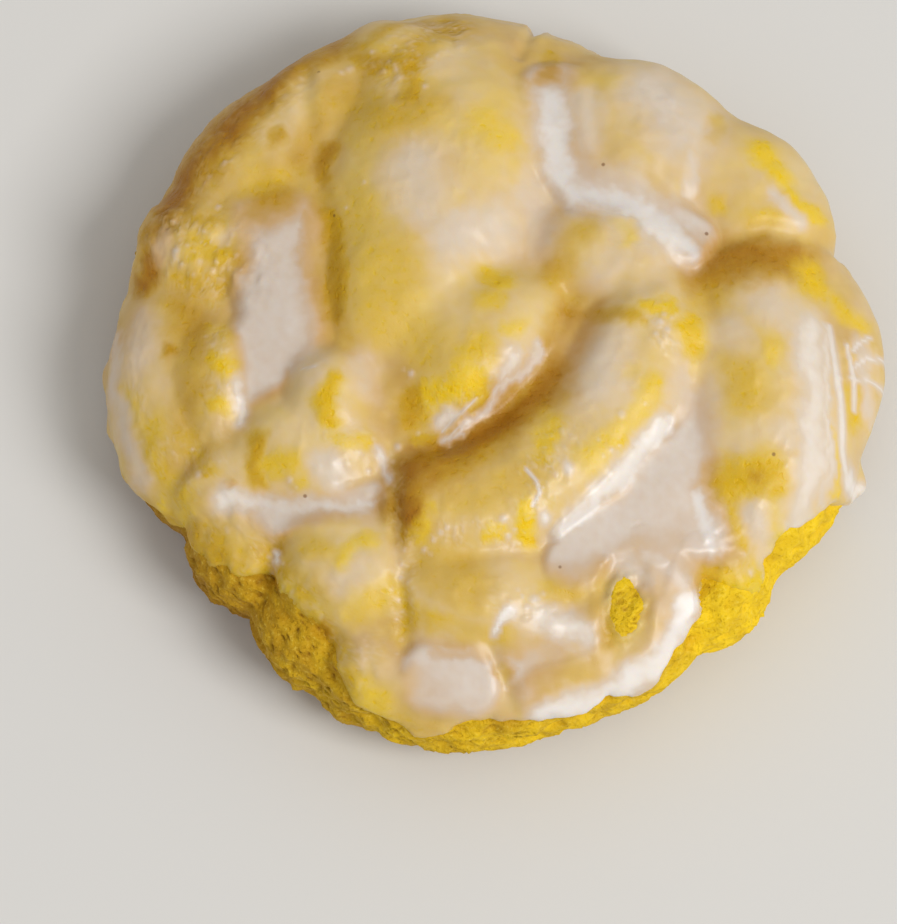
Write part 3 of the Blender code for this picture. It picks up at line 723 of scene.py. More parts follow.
    "nearLeftSpot": ([(-20.6, -19.4)], 0.6, 0.75, 0.6),
    "lowerLeftPale": ([(-22.5, -23.0), (-21.2, -24.7)], 1.4, 0.6, 0),
    "lowerLeftLump": ([(-12.3, -34.0), (-11.3, -35.0)], 1.2, 0.65, 0),
    "lowerLeftWash": ([(-14.3, -26.7), (-11.0, -25.5), (-9.5, -24.5)], 1.2, 0.5, 0.2),
    "lowerLeftHole": ([(-16.6, -27.5), (-15.8, -28.2)], 0.5, 0.8, 0.8),
    # painted shadow round the bare crumb patch, below and right of it
    "crumbPatchShadow": ([(13.8, -24.8), (12.6, -27.0), (10.8, -28.6)], 1.1, 0.5, 0.7),
    "crumbPatchSide": ([(9.8, -23.5), (9.5, -26.5)], 0.8, 0.2, 0.5),
    "sheetTan": ([(3.5, -33.3), (6.6, -32.3), (9.8, -30.9)], 0.9, 0.35, 0.7),
    "bareSpeck": ([(0.9, -32.1)], 0.7, 0.95, 0.1),
}

# Where the glaze is thick and milky: points along the middle, half width, how milky; the tongue's highlight
# strokes are painted highlights, and the crescent's and the tongue's edges are partly painted highlight
milkySpots = {
    "channel": ([(5.5, 25.9), (6.2, 21.5), (6.8, 17.2)], 2.2, 1),
    "channelLow": ([(8.1, 16.0), (11.5, 15.4), (14.9, 13.7), (17.5, 11.4), (19.1, 10.0)], 1.9, 1),
    "channelRight": ([(8.6, 25.4), (9.6, 20.6)], 1.9, 0.6),
    "domeWhite": ([(-4.2, 10.8), (0.7, 11.6)], 2.8, 0.6),
    "domeCream": ([(-7.9, 17.2), (-6.0, 13.5)], 3, 0.55),
    "domeRight": ([(4.1, 16.3), (4.6, 11.0)], 2.2, 0.55),
    "leftPool": ([(-20.7, 10.3), (-20.2, 4.9), (-18.8, 0.2)], 2.2, 0.8),
    "leftPoolFoot": ([(-19.6, -1.5), (-21.9, -2.4)], 1.3, 0.8),
    "leftPoolTail": ([(-24.3, -3.6), (-24.7, -7.0)], 1.0, 0.85),
    "rightPool": ([(19.5, -4.8), (19.5, -8.3), (17.3, -12.4)], 2, 0.6),
    "rightPoolLow": ([(16.1, -15.4), (12.2, -18.3), (8.8, -20.2)], 1.6, 0.6),
    "rightPoolFoot": ([(19.8, -15.2), (21.1, -19.6)], 1.4, 1),
    "nearLip": (
        [(18.8, -24.9), (17.8, -28.2), (15.1, -31.5), (11.7, -33.5), (8.3, -35.0), (4.9, -35.7)],
        1.3, 1,
    ),
    "nearSheet": ([(15.1, -21.0), (18.2, -23.1)], 1.4, 0.75),
    "nearSheetLeft": ([(4.9, -27.4), (8.3, -28.4)], 1.6, 0.85),
    "nearSheetPale": ([(12.6, -21.0), (14.6, -23.0)], 1.6, 0.7),
    "nearPool": ([(-5.2, -32.0), (-1.8, -33.1)], 2, 0.6),
    "nearPoolRim": ([(-6.2, -31.2), (-1.0, -31.8)], 3, 0.45),
    "leftPoolRim": ([(-21.2, 9.5), (-20.6, 5.0), (-19.4, 0.0)], 3.3, 0.55),
    "channelRim": ([(7.4, 18.0), (12.0, 16.0), (18.0, 12.0)], 3.2, 0.7),
    "nearStreak": ([(0.4, -28.4), (1.7, -26.9)], 0.7, 1),
    "leftChannel": ([(-26.0, -15.0), (-21.7, -15.9), (-15.8, -16.0), (-11.8, -15.9)], 1.1, 0.85),
    "leftChannelEnd": ([(-12.9, -15.5), (-11.4, -16.1)], 0.8, 0.9),
    "rightBand": ([(30.7, 1.8), (31.2, -5.4), (30.9, -12.1), (29.8, -16.6)], 1.7, 0.8),
    "rightBandEdge": ([(32.5, 2.5), (32.5, -7.0), (32.2, -15.1)], 0.6, 0.7),
    "drip": ([(35.2, -11.5)], 1.2, 1),
    "stripPale": ([(36.4, 1.5), (36.6, -4.5)], 0.9, 0.65),
    "crescentEdge": ([(16.7, -8.1), (13.8, -11.7), (10.2, -15.5), (6.4, -19.1)], 1.1, 0.95),
    "crescentInner": ([(10.3, -4.2), (9.4, -0.1)], 2.8, 0.5),
    "tongueEdge": ([(4.6, 0.0), (2.1, -3.5), (-0.8, -6.5), (-4.3, -9.3)], 0.6, 0.85),
    # painted highlights on the tongue
    "tongueHighlight": ([(1.8, -1.3), (0.6, -3.7)], 1.0, 0.8),
    "tongueEndHighlight": ([(-4.2, -7.0), (-5.4, -7.3)], 0.9, 0.85),
    "creviceEdge": ([(-11.0, -10.6), (-10.2, -13.5)], 0.7, 0.8),
    "beanPale": ([(11.9, 8.2), (10.4, 7.0)], 1.4, 0.35),
    "crestCream": ([(-12.8, -1.6), (-12.2, -4.7)], 1.4, 0.5),
    "leftDomeCream": ([(-16.6, -12.5), (-15.1, -13.5)], 1.3, 0.6),
    "leftRim": ([(-37.1, 2.9), (-37.1, -2.0), (-36.0, -6.8), (-34.2, -11.9)], 0.9, 0.6),
    "leftShelfPale": ([(-34.5, 4.0), (-35.0, -0.3)], 1.4, 0.4),
    "crumbsPale": ([(-32.3, 12.6), (-32.9, 9.6)], 0.8, 0.5),
    "crumbsPaleRight": ([(-26.6, 11.6), (-24.8, 12.6)], 0.7, 0.4),
    "leftBeads": ([(-21.1, -20.2), (-21.2, -21.1)], 0.5, 0.9),
    "nearLeftCream": ([(-12.7, -21.8), (-14.8, -24.2)], 1.5, 0.35),
    "longRightPale": ([(26.5, 4.5), (28.9, 2.3)], 1.8, 0.4),
    "longRightInner": ([(23.5, 1.4), (24.2, -0.3)], 1.4, 0.3),
    "longRightLowPale": ([(28.2, -8.7), (29.7, -10.4)], 1.6, 0.35),
    "longRightFootPale": ([(25.3, -16.5), (26.5, -19.8)], 1.4, 0.6),
    "farDomePale": ([(16.0, 23.5), (19.4, 19.4)], 2.0, 0.35),
    "farDomeMilk": ([(16.0, 27.0), (18.6, 22.4)], 3.2, 0.65),
    "farDomeEdge": ([(19.7, 19.7), (19.4, 16.5)], 0.8, 0.6),
    "wedgePale": ([(27.8, 16.2), (30.7, 13.8)], 0.6, 0.6),
}

# Raised threads of glaze: points along the thread, half width, height
strands = {
    "upright": ([(33.8, 1.3), (33.9, -2.5), (33.7, -5.2)], 0.18, 0.12),
    "top": ([(34.2, 0.5), (34.8, 1.5), (35.9, 2.5)], 0.2, 0.16),
    "middle": ([(34.2, -1.0), (35.2, 0.1), (36.8, 0.8)], 0.2, 0.16),
    "low": ([(33.7, -2.4), (35.5, -2.0), (37.2, -1.1)], 0.2, 0.16),
    "bandEdge": ([(32.5, 3.1), (32.5, -7.0), (32.2, -15.3)], 0.26, 0.1),
    "crescentRim": ([(16.5, -7.7), (13.6, -11.3), (9.9, -15.0), (6.0, -18.7)], 0.45, 0.22),
    "threadUp": ([(2.8, -12.6), (3.7, -13.7), (4.1, -14.9)], 0.16, 0.08),
    "threadDown": ([(4.1, -14.9), (3.3, -16.3)], 0.16, 0.08),
    "tongueLine": ([(-4.7, -8.5), (-3.1, -7.0), (-1.5, -5.7)], 0.16, 0.2),
    "tongueLineLow": ([(-4.0, -8.9), (-2.5, -7.7)], 0.14, 0.16),
    "whiteScratch": ([(-18.2, -2.3), (-16.8, -2.2)], 0.1, 0.06),
}

# Beads and blisters of set glaze, which catch the light and get painted highlights: x, y, half size, height
beads = {
    "tongueEdge": [
        (1.8, -0.9, 0.59, 0.15), (2.6, -1.5, 0.39, 0.12), (1.1, -2.3, 0.49, 0.12), (0.4, -3.4, 0.39, 0.12),
        (-0.3, -3.8, 0.49, 0.15), (2.8, -2.7, 0.49, 0.09), (1.5, -3.9, 0.39, 0.09),
    ],
    "tongueEnd": [
        (-4.4, -6.7, 0.69, 0.18), (-5.1, -7.3, 0.49, 0.15), (-3.6, -7.7, 0.39, 0.12),
        (-3.1, -6.2, 0.39, 0.09), (-6.0, -8.1, 0.39, 0.09), (-7.3, -8.6, 0.39, 0.12),
        (-2.3, -6.3, 0.29, 0.09), (-4.0, -8.5, 0.29, 0.09),
    ],
    "crest": [
        (-8.0, -2.9, 0.39, 0.18), (-8.7, -2.4, 0.29, 0.09), (-12.1, -12.6, 0.39, 0.15),
        (-14.1, -12.3, 0.49, 0.09), (-15.6, -12.1, 0.59, 0.09), (-17.0, -12.8, 0.49, 0.09),
        (-19.7, -13.6, 0.39, 0.15), (-19.1, -14.2, 0.29, 0.09), (-12.9, -11.0, 0.39, 0.09),
        (-11.6, -9.5, 0.39, 0.09), (-12.3, -14.9, 0.59, 0.12), (-13.9, -13.9, 0.39, 0.09),
    ],
    "crescentHot": [
        (7.1, -13.1, 0.88, 0.21), (6.0, -13.8, 0.49, 0.12), (5.0, -17.7, 0.88, 0.24),
        (4.2, -17.0, 0.39, 0.09), (0.9, -18.1, 0.59, 0.18), (12.4, -7.7, 0.59, 0.12),
        (11.4, -11.2, 0.39, 0.15), (12.2, -10.7, 0.29, 0.12), (10.6, -11.8, 0.29, 0.09),
        (10.1, -10.3, 0.29, 0.09), (14.7, -6.5, 0.29, 0.09),
    ],
    "crescentTop": [
        (16.2, 1.7, 0.49, 0.18), (16.9, 1.0, 0.39, 0.15), (15.8, 0.5, 0.39, 0.15), (16.6, 2.5, 0.39, 0.12),
        (17.3, 2.2, 0.29, 0.09), (16.1, -0.3, 0.29, 0.09),
    ],
    "crescentFoot": [
        (-6.7, -20.8, 0.39, 0.15), (-5.8, -20.0, 0.39, 0.15), (-5.1, -19.4, 0.39, 0.15),
        (-4.5, -19.0, 0.39, 0.18), (-4.6, -20.0, 0.29, 0.09), (-6.1, -21.2, 0.29, 0.09),
        (1.4, -19.5, 0.39, 0.15), (2.1, -18.9, 0.29, 0.12), (2.5, -20.0, 0.29, 0.12),
        (0.4, -20.2, 0.29, 0.09),
    ],
    "crevice": [
        (-9.3, -10.0, 0.49, 0.15), (-9.8, -11.5, 0.39, 0.12), (-9.6, -14.2, 0.39, 0.12),
        (-9.2, -16.8, 0.29, 0.09), (-8.6, -20.7, 0.39, 0.15), (-8.0, -20.2, 0.29, 0.12),
        (-8.8, -22.1, 0.29, 0.12), (-9.0, -23.3, 0.39, 0.15), (-8.3, -23.9, 0.29, 0.09),
        (-9.2, -25.4, 0.39, 0.15), (-8.7, -26.4, 0.29, 0.12), (-9.4, -27.1, 0.29, 0.12),
        (-8.9, -28.9, 0.39, 0.12), (-9.2, -30.4, 0.29, 0.12), (-8.6, -32.0, 0.29, 0.09),
        (-9.8, -24.5, 0.29, 0.09), (-7.7, -21.8, 0.29, 0.09),
    ],
    "leftBeads": [
        (-21.2, -19.8, 0.39, 0.18), (-21.1, -20.8, 0.59, 0.21), (-21.7, -20.3, 0.29, 0.12),
        (-20.5, -22.2, 0.29, 0.09), (-29.2, -9.7, 0.39, 0.15), (-28.6, -12.5, 0.49, 0.18),
        (-28.9, -11.4, 0.29, 0.12), (-25.3, -13.5, 0.29, 0.12), (-29.5, -13.2, 0.29, 0.09),
        (-21.9, -22.2, 0.29, 0.12), (-20.3, -23.5, 0.29, 0.09),
    ],
    "shelf": [
        (-25.8, -4.0, 0.49, 0.15), (-25.3, -4.9, 0.39, 0.12), (-24.6, -7.5, 0.39, 0.15),
        (-26.6, -4.2, 0.29, 0.12), (-25.2, -6.2, 0.29, 0.09), (-27.3, 0.2, 0.39, 0.12),
        (-28.0, 1.3, 0.29, 0.09), (-26.4, -0.5, 0.29, 0.09),
    ],
    "upperLeft": [
        (-31.2, 13.5, 0.39, 0.15), (-31.7, 11.6, 0.49, 0.15), (-31.1, 10.3, 0.59, 0.18),
        (-29.9, 10.8, 0.39, 0.12), (-28.7, 9.1, 0.39, 0.12), (-27.0, 15.0, 0.39, 0.18),
        (-28.3, 12.2, 0.39, 0.12), (-26.0, 10.9, 0.49, 0.12), (-25.2, 9.6, 0.39, 0.15),
        (-24.6, 8.2, 0.49, 0.18), (-24.2, 8.8, 0.29, 0.15), (-27.4, 8.2, 0.39, 0.12),
        (-29.3, 7.9, 0.39, 0.12), (-30.5, 8.7, 0.29, 0.09), (-32.7, 8.1, 0.29, 0.09),
        (-27.6, 6.5, 0.39, 0.12), (-26.4, 7.5, 0.39, 0.12), (-25.6, 11.7, 0.39, 0.12),
        (-29.2, 14.3, 0.29, 0.09), (-33.1, 11.2, 0.29, 0.09),
    ],
    "upperRim": [
        (-26.4, 19.6, 0.39, 0.15), (-25.7, 19.9, 0.29, 0.12), (-28.0, 18.3, 0.39, 0.15),
        (-28.4, 17.7, 0.29, 0.12), (-12.6, 16.4, 0.29, 0.12), (-14.4, 14.1, 0.29, 0.12),
    ],
    "topGold": [
        (-14.1, 29.4, 0.49, 0.15), (-14.9, 29.0, 0.39, 0.12), (-11.9, 31.0, 0.39, 0.15),
        (-10.3, 29.6, 0.39, 0.12), (-9.5, 28.6, 0.39, 0.15), (-9.0, 27.6, 0.39, 0.12),
        (-8.3, 31.6, 0.39, 0.12), (-6.7, 26.5, 0.39, 0.15), (-11.1, 28.4, 0.29, 0.09),
        (-12.5, 29.8, 0.29, 0.09), (-7.4, 30.3, 0.29, 0.09), (-5.8, 32.4, 0.29, 0.09),
        (-10.0, 30.9, 0.29, 0.09),
    ],
    "nearKnob": [
        (4.0, -25.6, 0.69, 0.18), (3.3, -26.4, 0.49, 0.15), (4.8, -24.9, 0.39, 0.12),
        (4.2, -26.7, 0.39, 0.12), (2.7, -25.4, 0.29, 0.12), (5.4, -26.0, 0.29, 0.09),
        (3.1, -27.4, 0.39, 0.15), (2.3, -24.8, 0.29, 0.09), (11.0, -21.3, 0.49, 0.18),
        (10.4, -21.9, 0.29, 0.12),
    ],
    "nearPool": [
        (0.9, -31.8, 0.39, 0.12), (0.3, -32.5, 0.29, 0.09), (1.3, -33.6, 0.39, 0.12),
        (1.6, -33.0, 0.29, 0.09),
    ],
    "longRight": [
        (13.6, 10.9, 0.39, 0.09), (29.9, 1.2, 0.29, 0.06), (28.3, -12.1, 0.29, 0.09),
        (20.7, -18.9, 0.59, 0.18), (21.5, -18.0, 0.39, 0.12), (24.2, -20.1, 0.39, 0.12),
        (24.9, -21.5, 0.49, 0.15), (26.3, -21.6, 0.39, 0.12),
    ],
}

# Where the glaze has wrinkled as it set: points along the middle, half width, strength
crinkles = {
    "tongueEnd": ([(-5.6, -6.2), (-3.0, -6.0), (0.2, -4.4)], 2.0, 1.0),
    "crescentEnd": ([(6.4, -10.6), (4.6, -13.8), (4.0, -17.6)], 2.2, 1.0),
    "crescentTop": ([(16.4, 2.2), (16.8, 0.2)], 1.5, 1.0),
    "crescentFoot": ([(-7.0, -19.4), (-2.4, -19.2), (2.4, -19.6)], 1.2, 1.0),
    "crevice": ([(-9.0, -12.0), (-8.8, -20.0), (-8.6, -29.0)], 1.3, 0.9),
    "leftDome": ([(-14.6, -9.6), (-11.2, -11.0)], 2.2, 0.6),
    "leftBeads": ([(-21.6, -18.6), (-20.6, -22.0)], 1.1, 1.0),
    "knob": ([(1.4, -26.0), (4.8, -26.8)], 2.0, 0.7),
    "upperLeft": ([(-31.5, 12.0), (-26.5, 8.6)], 3.6, 1.5),
    "topGold": ([(-4.4, 34.0), (-9.4, 29.4)], 2.6, 1.4),
    "shelf": ([(-26.6, 1.4), (-26.6, -7.6)], 1.6, 0.8),
    "leftLow": ([(-31.6, -9.0), (-27.4, -13.6)], 2.6, 0.8),
    "upperLeftRim": ([(-33.0, 13.0), (-30.0, 18.6), (-25.0, 24.6), (-20.0, 28.6)], 2.8, 0.8),
    "leftRim": ([(-35.6, 3.0), (-35.4, -4.0), (-33.4, -11.0)], 1.8, 0.7),
    "lowerLeft": ([(-25.6, -18.0), (-20.0, -24.6), (-13.0, -31.0)], 3.0, 0.8),
    "lowerRight": ([(25.0, -15.5), (25.4, -20.5)], 2.2, 0.7),
}

# Where clods of crumb show under the glaze: points along the middle, half width, strength
clods = {
    "upperLeft": ([(-32.0, 12.5), (-26.5, 8.6)], 4.2, 1.0),
    "topGold": ([(-4.4, 34.0), (-9.4, 29.4), (-8.2, 26.0)], 2.4, 0.6),
    "upperLeftRim": ([(-33.0, 13.0), (-30.0, 18.6), (-25.0, 24.6), (-20.0, 28.6)], 2.4, 0.45),
    "lowerLeft": ([(-27.0, -17.0), (-21.0, -24.6), (-12.0, -32.0)], 3.2, 0.7),
    "lowerRight": ([(23.6, -20.6), (26.0, -16.4)], 2.4, 0.5),
}


def dripThickness(crust):
    extra = np.zeros(len(crust["x"]))
    radius = np.hypot(crust["point"][:, 0], crust["point"][:, 1])
    for turn, along, halfSize, thick in drips.values():
        aside = (crust["turn"] - math.radians(turn) + math.pi) % math.tau - math.pi
        share = np.hypot(aside * radius, crust["along"] - along) / halfSize
        extra = np.maximum(extra, thick * (1.0 - smoothStep(0.0, 1.0, share)))
    return extra


def poolShares(crust):
    # how far into its nearest pool each point lies, from 0 to 1, and the level that the glaze stands at
    level, share = np.full(len(crust["x"]), glaze["poolLevel"]), np.zeros(len(crust["x"]))
    for path, halfWidth, height in pools.values():
        away = distanceToPath(crust["x"], crust["y"], path) / halfWidth
        inPool = 1.0 - smoothStep(glaze["poolFullShare"], glaze["poolEndShare"], away)
        level = np.maximum(level, height * inPool)
        share = np.maximum(share, inPool)
    return share, level - glaze["poolDrain"] * crust["steepness"]


def glazeHeights(crust, insideEdge, offSpots, bareDough):
    # the glaze's upper side, which dives under the dough outside its edge, and how deep it stands in pools
    lumpsUnder = lumpRelief(crust, glaze["hollowFill"]) - glaze["crackShare"] * crackDepth(crust)
    inPool, level = poolShares(crust)
    filled = smoothMax(lumpsUnder * crust["offFloor"], level, glaze["poolBlend"])
    full = np.maximum(filled, bareDough) + glaze["film"] + dripThickness(crust)
    inside = np.clip(insideEdge / glaze["lipWidth"], 0.0, 1.0)
    slope = smoothStep(glazeEdge["spotSlopeStart"], glazeEdge["spotSlopeEnd"], offSpots)
    thickness = (full - bareDough) * np.sqrt(1.0 - (1.0 - inside) ** 2) * slope
    thickness *= 1.0 - glazeEdge["thinRimLoss"] * thinRimShare(crust, insideEdge)
    outside = smoothStep(0.0, -glaze["diveWidth"], np.minimum(insideEdge, offSpots))
    drift = noiseAt(crust["point"], glaze["poolEdgeSize"], seeds["poolEdge"], octaves=2)
    depth = level - lumpsUnder + glaze["poolEdgeDrift"] * drift
    pooled = inPool * smoothStep(glaze["poolRim"], glaze["poolDeep"], depth)
    return bareDough + thickness - glaze["dive"] * outside, pooled


def glazeDetail(crust, x, y, pooled):
    # waves, wrinkles, clods, beads and threads on the glaze's upper side, and how much each point glints, a
    # painted highlight
    point = crust["point"]
    detail = glaze["waveDepth"] * noiseAt(point, glaze["waveSize"], seeds["waves"])
    bumps = noiseAt(point, glaze["bumpSize"], seeds["bumps"], octaves=2)
    detail += glaze["bumpDepth"] * bumps * (1.0 - pooled)
    stray = strayAt(point, glaze["straySize"], seeds["glazeStray"])
    wrinkled = strongest(x, y, crinkles, glaze["crinkleSoftness"])
    patchy = smoothStep(*glaze["patchFade"], noiseAt(point, glaze["patchSize"], seeds["patches"], octaves=2))
    folds = noiseAt(point + glaze["wrinkleStray"] * stray, glaze["wrinkleSize"], seeds["folds"], octaves=2)
    ridges = wrinkled * patchy * (1.0 - smoothStep(0.0, glaze["wrinkleWidth"], np.abs(folds)))
    nearest = nearestCell(point + glaze["blisterStray"] * stray, glaze["blisterSize"], seeds["blisters"])
    blisters = wrinkled * (1.0 - glaze["blistersLost"] * patchy)
    blisters *= 1.0 - smoothStep(*glaze["blisterFade"], nearest)
    detail += glaze["wrinkleDepth"] * ridges + glaze["blisterDepth"] * blisters
    glints = np.maximum(glaze["wrinkleGlint"] * ridges, glaze["blisterGlint"] * blisters)
    cloddy = strongest(x, y, clods, glaze["clodSoftness"])
    clod = nearestCell(point + glaze["clodStray"] * stray, glaze["clodSize"], seeds["clods"])
    detail += glaze["clodDepth"] * cloddy * (0.5 - smoothStep(*glaze["clodFade"], clod))
    for middleX, middleY, halfSize, height in sum(beads.values(), []):
        share = np.hypot(x - middleX, y - middleY) / halfSize + glaze["beadStray"] * stray[:, 0]
        bump = 1.0 - smoothStep(0.0, glaze["beadSpread"], share)
        detail += height * bump
        glints = np.maximum(glints, min(glaze["beadGlintMost"], glaze["beadGlint"] * height) * bump)
    for path, halfWidth, height in strands.values():
        share = distanceToPath(x, y, path) / (2.0 * halfWidth)
        detail += height * (1.0 - smoothStep(0.0, 1.0, share))
    return detail, glints


def shadedWallShare(crust):
    # how far the crust rises against the way that the shaded walls face, from 0 to 1, for the painted shade
    step = [way * glaze["wallStep"] for way in glaze["shadedWallWay"]]
    ahead = {"x": crust["x"] - step[0], "y": crust["y"] - step[1]}
    behind = {"x": crust["x"] + step[0], "y": crust["y"] + step[1]}
    rise = lumpRelief(ahead, glaze["creaseBlend"]) - lumpRelief(behind, glaze["creaseBlend"])
    return smoothStep(0.0, glaze["wallRise"], rise)


def glazeTones(crust, x, y, pooled, glints, insideEdge):
    # how milky the glaze is, with painted highlights, and how browned the dough that shows through it, with
    # painted shade
    clouds = noiseAt(crust["point"], glaze["cloudSize"], seeds["clouds"], octaves=3)
    wisps = noiseAt(crust["point"], glaze["wispSize"], seeds["wisps"], octaves=3)
    mottle = noiseAt(crust["point"], glaze["mottleSize"], seeds["mottle"], octaves=2)
    # painted shade: the creases, and most of all the walls that face away from the light, get more brown and
    # less milk
    relief = lumpRelief(crust, glaze["creaseBlend"])
    crease = 1.0 - smoothStep(glaze["creaseLow"], glaze["creaseHigh"], relief)
    crease *= 1.0 - glaze["steepCreaseLoss"] * crust["steepness"]
    openShare = glaze["openCreaseShare"]
    creaseAndWallShade = crease * (openShare + (1.0 - openShare) * shadedWallShare(crust))
    creaseAndWallShade *= 1.0 + glaze["creaseWisps"] * wisps
    milkAndHighlights = glaze["filmMilk"] + glaze["cloudMilk"] * clouds + glaze["wispMilk"] * wisps
    milkAndHighlights += glaze["creaseShadeMilk"] * creaseAndWallShade
    brownAndShade = glaze["filmBrown"] + glaze["creaseShadeBrown"] * creaseAndWallShade
    brownAndShade += glaze["cloudBrown"] * clouds + glaze["wispBrown"] * wisps
    rim = thinRimShare(crust, insideEdge) * (1.0 + glaze["rimWisps"] * wisps)
    thin = glaze["rimThin"] * np.clip(rim, 0.0, 1.0)
    brownAndShade += (glaze["rimBrown"] * roundTheClock(crust["turn"], dough["toastAndShade"]) - brownAndShade) * thin
    uneven = 1.0 + glaze["thinWisps"] * wisps + glaze["thinMottle"] * mottle
    softness = glaze["strokeSoftness"]
    for path, halfWidth, strength, tone in thinSpots.values():
        share = strength * strokeShare(x, y, path, halfWidth * glaze["thinSpread"], softness) * uneven
        thin = np.maximum(thin, share)
        brownAndShade += (tone - brownAndShade) * np.clip(share, 0.0, 1.0)
    thin = np.clip(thin, 0.0, 1.0)
    milkAndHighlights *= 1.0 - glaze["thinClears"] * thin
    white = np.maximum(glaze["poolMilk"] * pooled * (1.0 - thin), strongest(x, y, milkySpots, softness))
    threads = {
        name: (path, glaze["threadSpread"] * halfWidth, glaze["threadMilk"])
        for name, (path, halfWidth, height) in strands.items()
    }
    white = np.maximum(white, strongest(crust["x"], crust["y"], threads, glaze["threadSoftness"]))
    brownAndShade += glaze["poolShade"] * pooled * (glaze["poolTone"] - brownAndShade)
    # painted highlights: the glints, and the highlight strokes among the milky ones, whiten the colour
    milkAndHighlights += (1.0 - milkAndHighlights) * np.maximum(white, glints) + glaze["mottleMilk"] * mottle
    return np.clip(milkAndHighlights, 0.0, 1.0), np.clip(brownAndShade, 0.0, 1.0)


def brushed(crust, places, twoSeeds):
    # where the strokes of colour are read, drifted so that their edges wander
    broad = noiseAt(crust["point"], glaze["brushSize"], twoSeeds[0])
    fine = noiseAt(crust["point"], glaze["brushFineSize"], twoSeeds[1], octaves=2)
    return places + glaze["brushDrift"] * broad + glaze["brushFineDrift"] * fine


def makeDough():
    piece, directions = ballOfQuads("cookieDough", dough["cells"])
    crust = layOverDisc(directions, dough["crowding"])
    insideEdge, offSpots = glazeCover(crust)
    cover = np.minimum(insideEdge, offSpots)
    crumbs, hollowShade, loose = fineCrumb(crust, cover)
    places = movedOut(crust, doughHeight(crust, cover, offSpots) + crumbs * crust["offFloor"])
    placePoints(piece, places)
    # the browned foot, darker and higher on the left as painted shade
    upTheFoot = places[:, 2] / roundTheClock(crust["turn"], dough["footHeight"])
    # the toasting, with painted shade on the left
    toastAndShade = roundTheClock(crust["turn"], dough["toastAndShade"])
    broad = noiseAt(crust["point"], dough["toastSize"], seeds["toast"], octaves=3)
    fine = noiseAt(crust["point"], dough["toastFineSize"], seeds["toastFine"], octaves=2)
    toastAndShade += dough["toastDrift"] * broad + dough["toastFineDrift"] * fine
    paintOn(piece, "footAndShade", 1.0 - smoothStep(*dough["footFade"], upTheFoot))
    paintOn(piece, "toastAndShade", np.clip(toastAndShade, 0.0, 1.0))
    paintOn(piece, "hollowShade", hollowShade)
    paintOn(piece, "loose", loose)
    bpy.ops.object.shade_smooth()
    print("dough:", len(piece.data.polygons), "faces")
    return piece


def makeGlaze():
    sheet, directions = ballOfQuads("lemonGlaze", glaze["cells"])
    crust = layOverDisc(directions, glaze["crowding"])
    insideEdge, offSpots = glazeCover(crust)
    cover = np.minimum(insideEdge, offSpots)
    bareDough = doughHeight(crust, cover, offSpots)
    outer, pooled = glazeHeights(crust, insideEdge, offSpots, bareDough)
    x, y, _ = movedOut(crust, outer).T
    detail, glints = glazeDetail(crust, x, y, pooled)
    brushX, brushY = brushed(crust, x, seeds["brushX"]), brushed(crust, y, seeds["brushY"])
    milkAndHighlights, brownAndShade = glazeTones(crust, brushX, brushY, pooled, glints, insideEdge)
    inside = smoothStep(0.0, glaze["lipWidth"], cover)
    outer = outer + detail * inside
    # the milk also holds painted highlights, and the brown painted shade
    paintOn(sheet, "milkAndHighlights", milkAndHighlights)
    paintOn(sheet, "brownAndShade", brownAndShade)
    paintOn(sheet, "gridPlace", np.arange(len(outer)))
    placePoints(sheet, movedOut(crust, outer))

    # what lies well outside the edge goes, and the rest gets its second side
    bpy.ops.object.mode_set(mode="EDIT")
    bpy.ops.mesh.select_mode(type="VERT")
    bpy.ops.mesh.select_all(action="DESELECT")
    bpy.ops.object.mode_set(mode="OBJECT")
    sheet.data.vertices.foreach_set("select", cover < glaze["cutOff"])
    bpy.ops.object.mode_set(mode="EDIT")
    bpy.ops.mesh.delete(type="VERT")
    bpy.ops.object.mode_set(mode="OBJECT")
    backing = sheet.modifiers.new("inner side", "SOLIDIFY")
    backing.thickness = glaze["backing"] * mm
    backing.offset = -1.0
    bpy.ops.object.modifier_apply(modifier=backing.name)

    # the inner side is laid just inside the dough, so that no gap shows at the lip
    innerHeight = np.minimum(bareDough, outer) - glaze["innerGap"]
    gridPlace = np.rint(readPaint(sheet, "gridPlace")).astype(int)
    places = readPoints(sheet) / mm
    isInner = np.arange(len(gridPlace)) >= len(gridPlace) // 2
    places[isInner] = movedOut(crust, innerHeight)[gridPlace[isInner]]
    placePoints(sheet, places)

    innerSide = sheet.vertex_groups.new(name="inner side")
    innerSide.add(np.flatnonzero(isInner).tolist(), 1.0, "REPLACE")
    faces = 2 * len(sheet.data.polygons)
    fewer = sheet.modifiers.new("fewer inside", "DECIMATE")
    fewer.vertex_group = innerSide.name
    fewer.ratio = (faces / 2 + glaze["insideFaces"]) / faces
    bpy.ops.object.modifier_apply(modifier=fewer.name)
    sheet.data.attributes.remove(sheet.data.attributes["gridPlace"])
    sheet.vertex_groups.clear()
    bpy.ops.object.shade_smooth()
    print("glaze:", sum(len(p.vertices) - 2 for p in sheet.data.polygons), "triangles")
    return sheet


# Helpers for the materials' nodes
def feed(tree, socket, value):
    # links an output to the socket, or sets the socket to a plain value
    if isinstance(value, bpy.types.NodeSocket):
        tree.links.new(value, socket)
    else:
        socket.default_value = value


def addNode(tree, kind, settings=None, **values):
    node = tree.nodes.new(kind)
    for name, value in (settings or {}).items():
        setattr(node, name, value)
    for name, value in values.items():
        feed(tree, node.inputs[name.replace("_", " ")], value)
    return node


def remap(tree, value, span):
    # span: the low and high value that come in, then what they are to be
    names = ("From Min", "From Max", "To Min", "To Max")
    return addNode(tree, "ShaderNodeMapRange", Value=value, **dict(zip(names, span))).outputs[0]


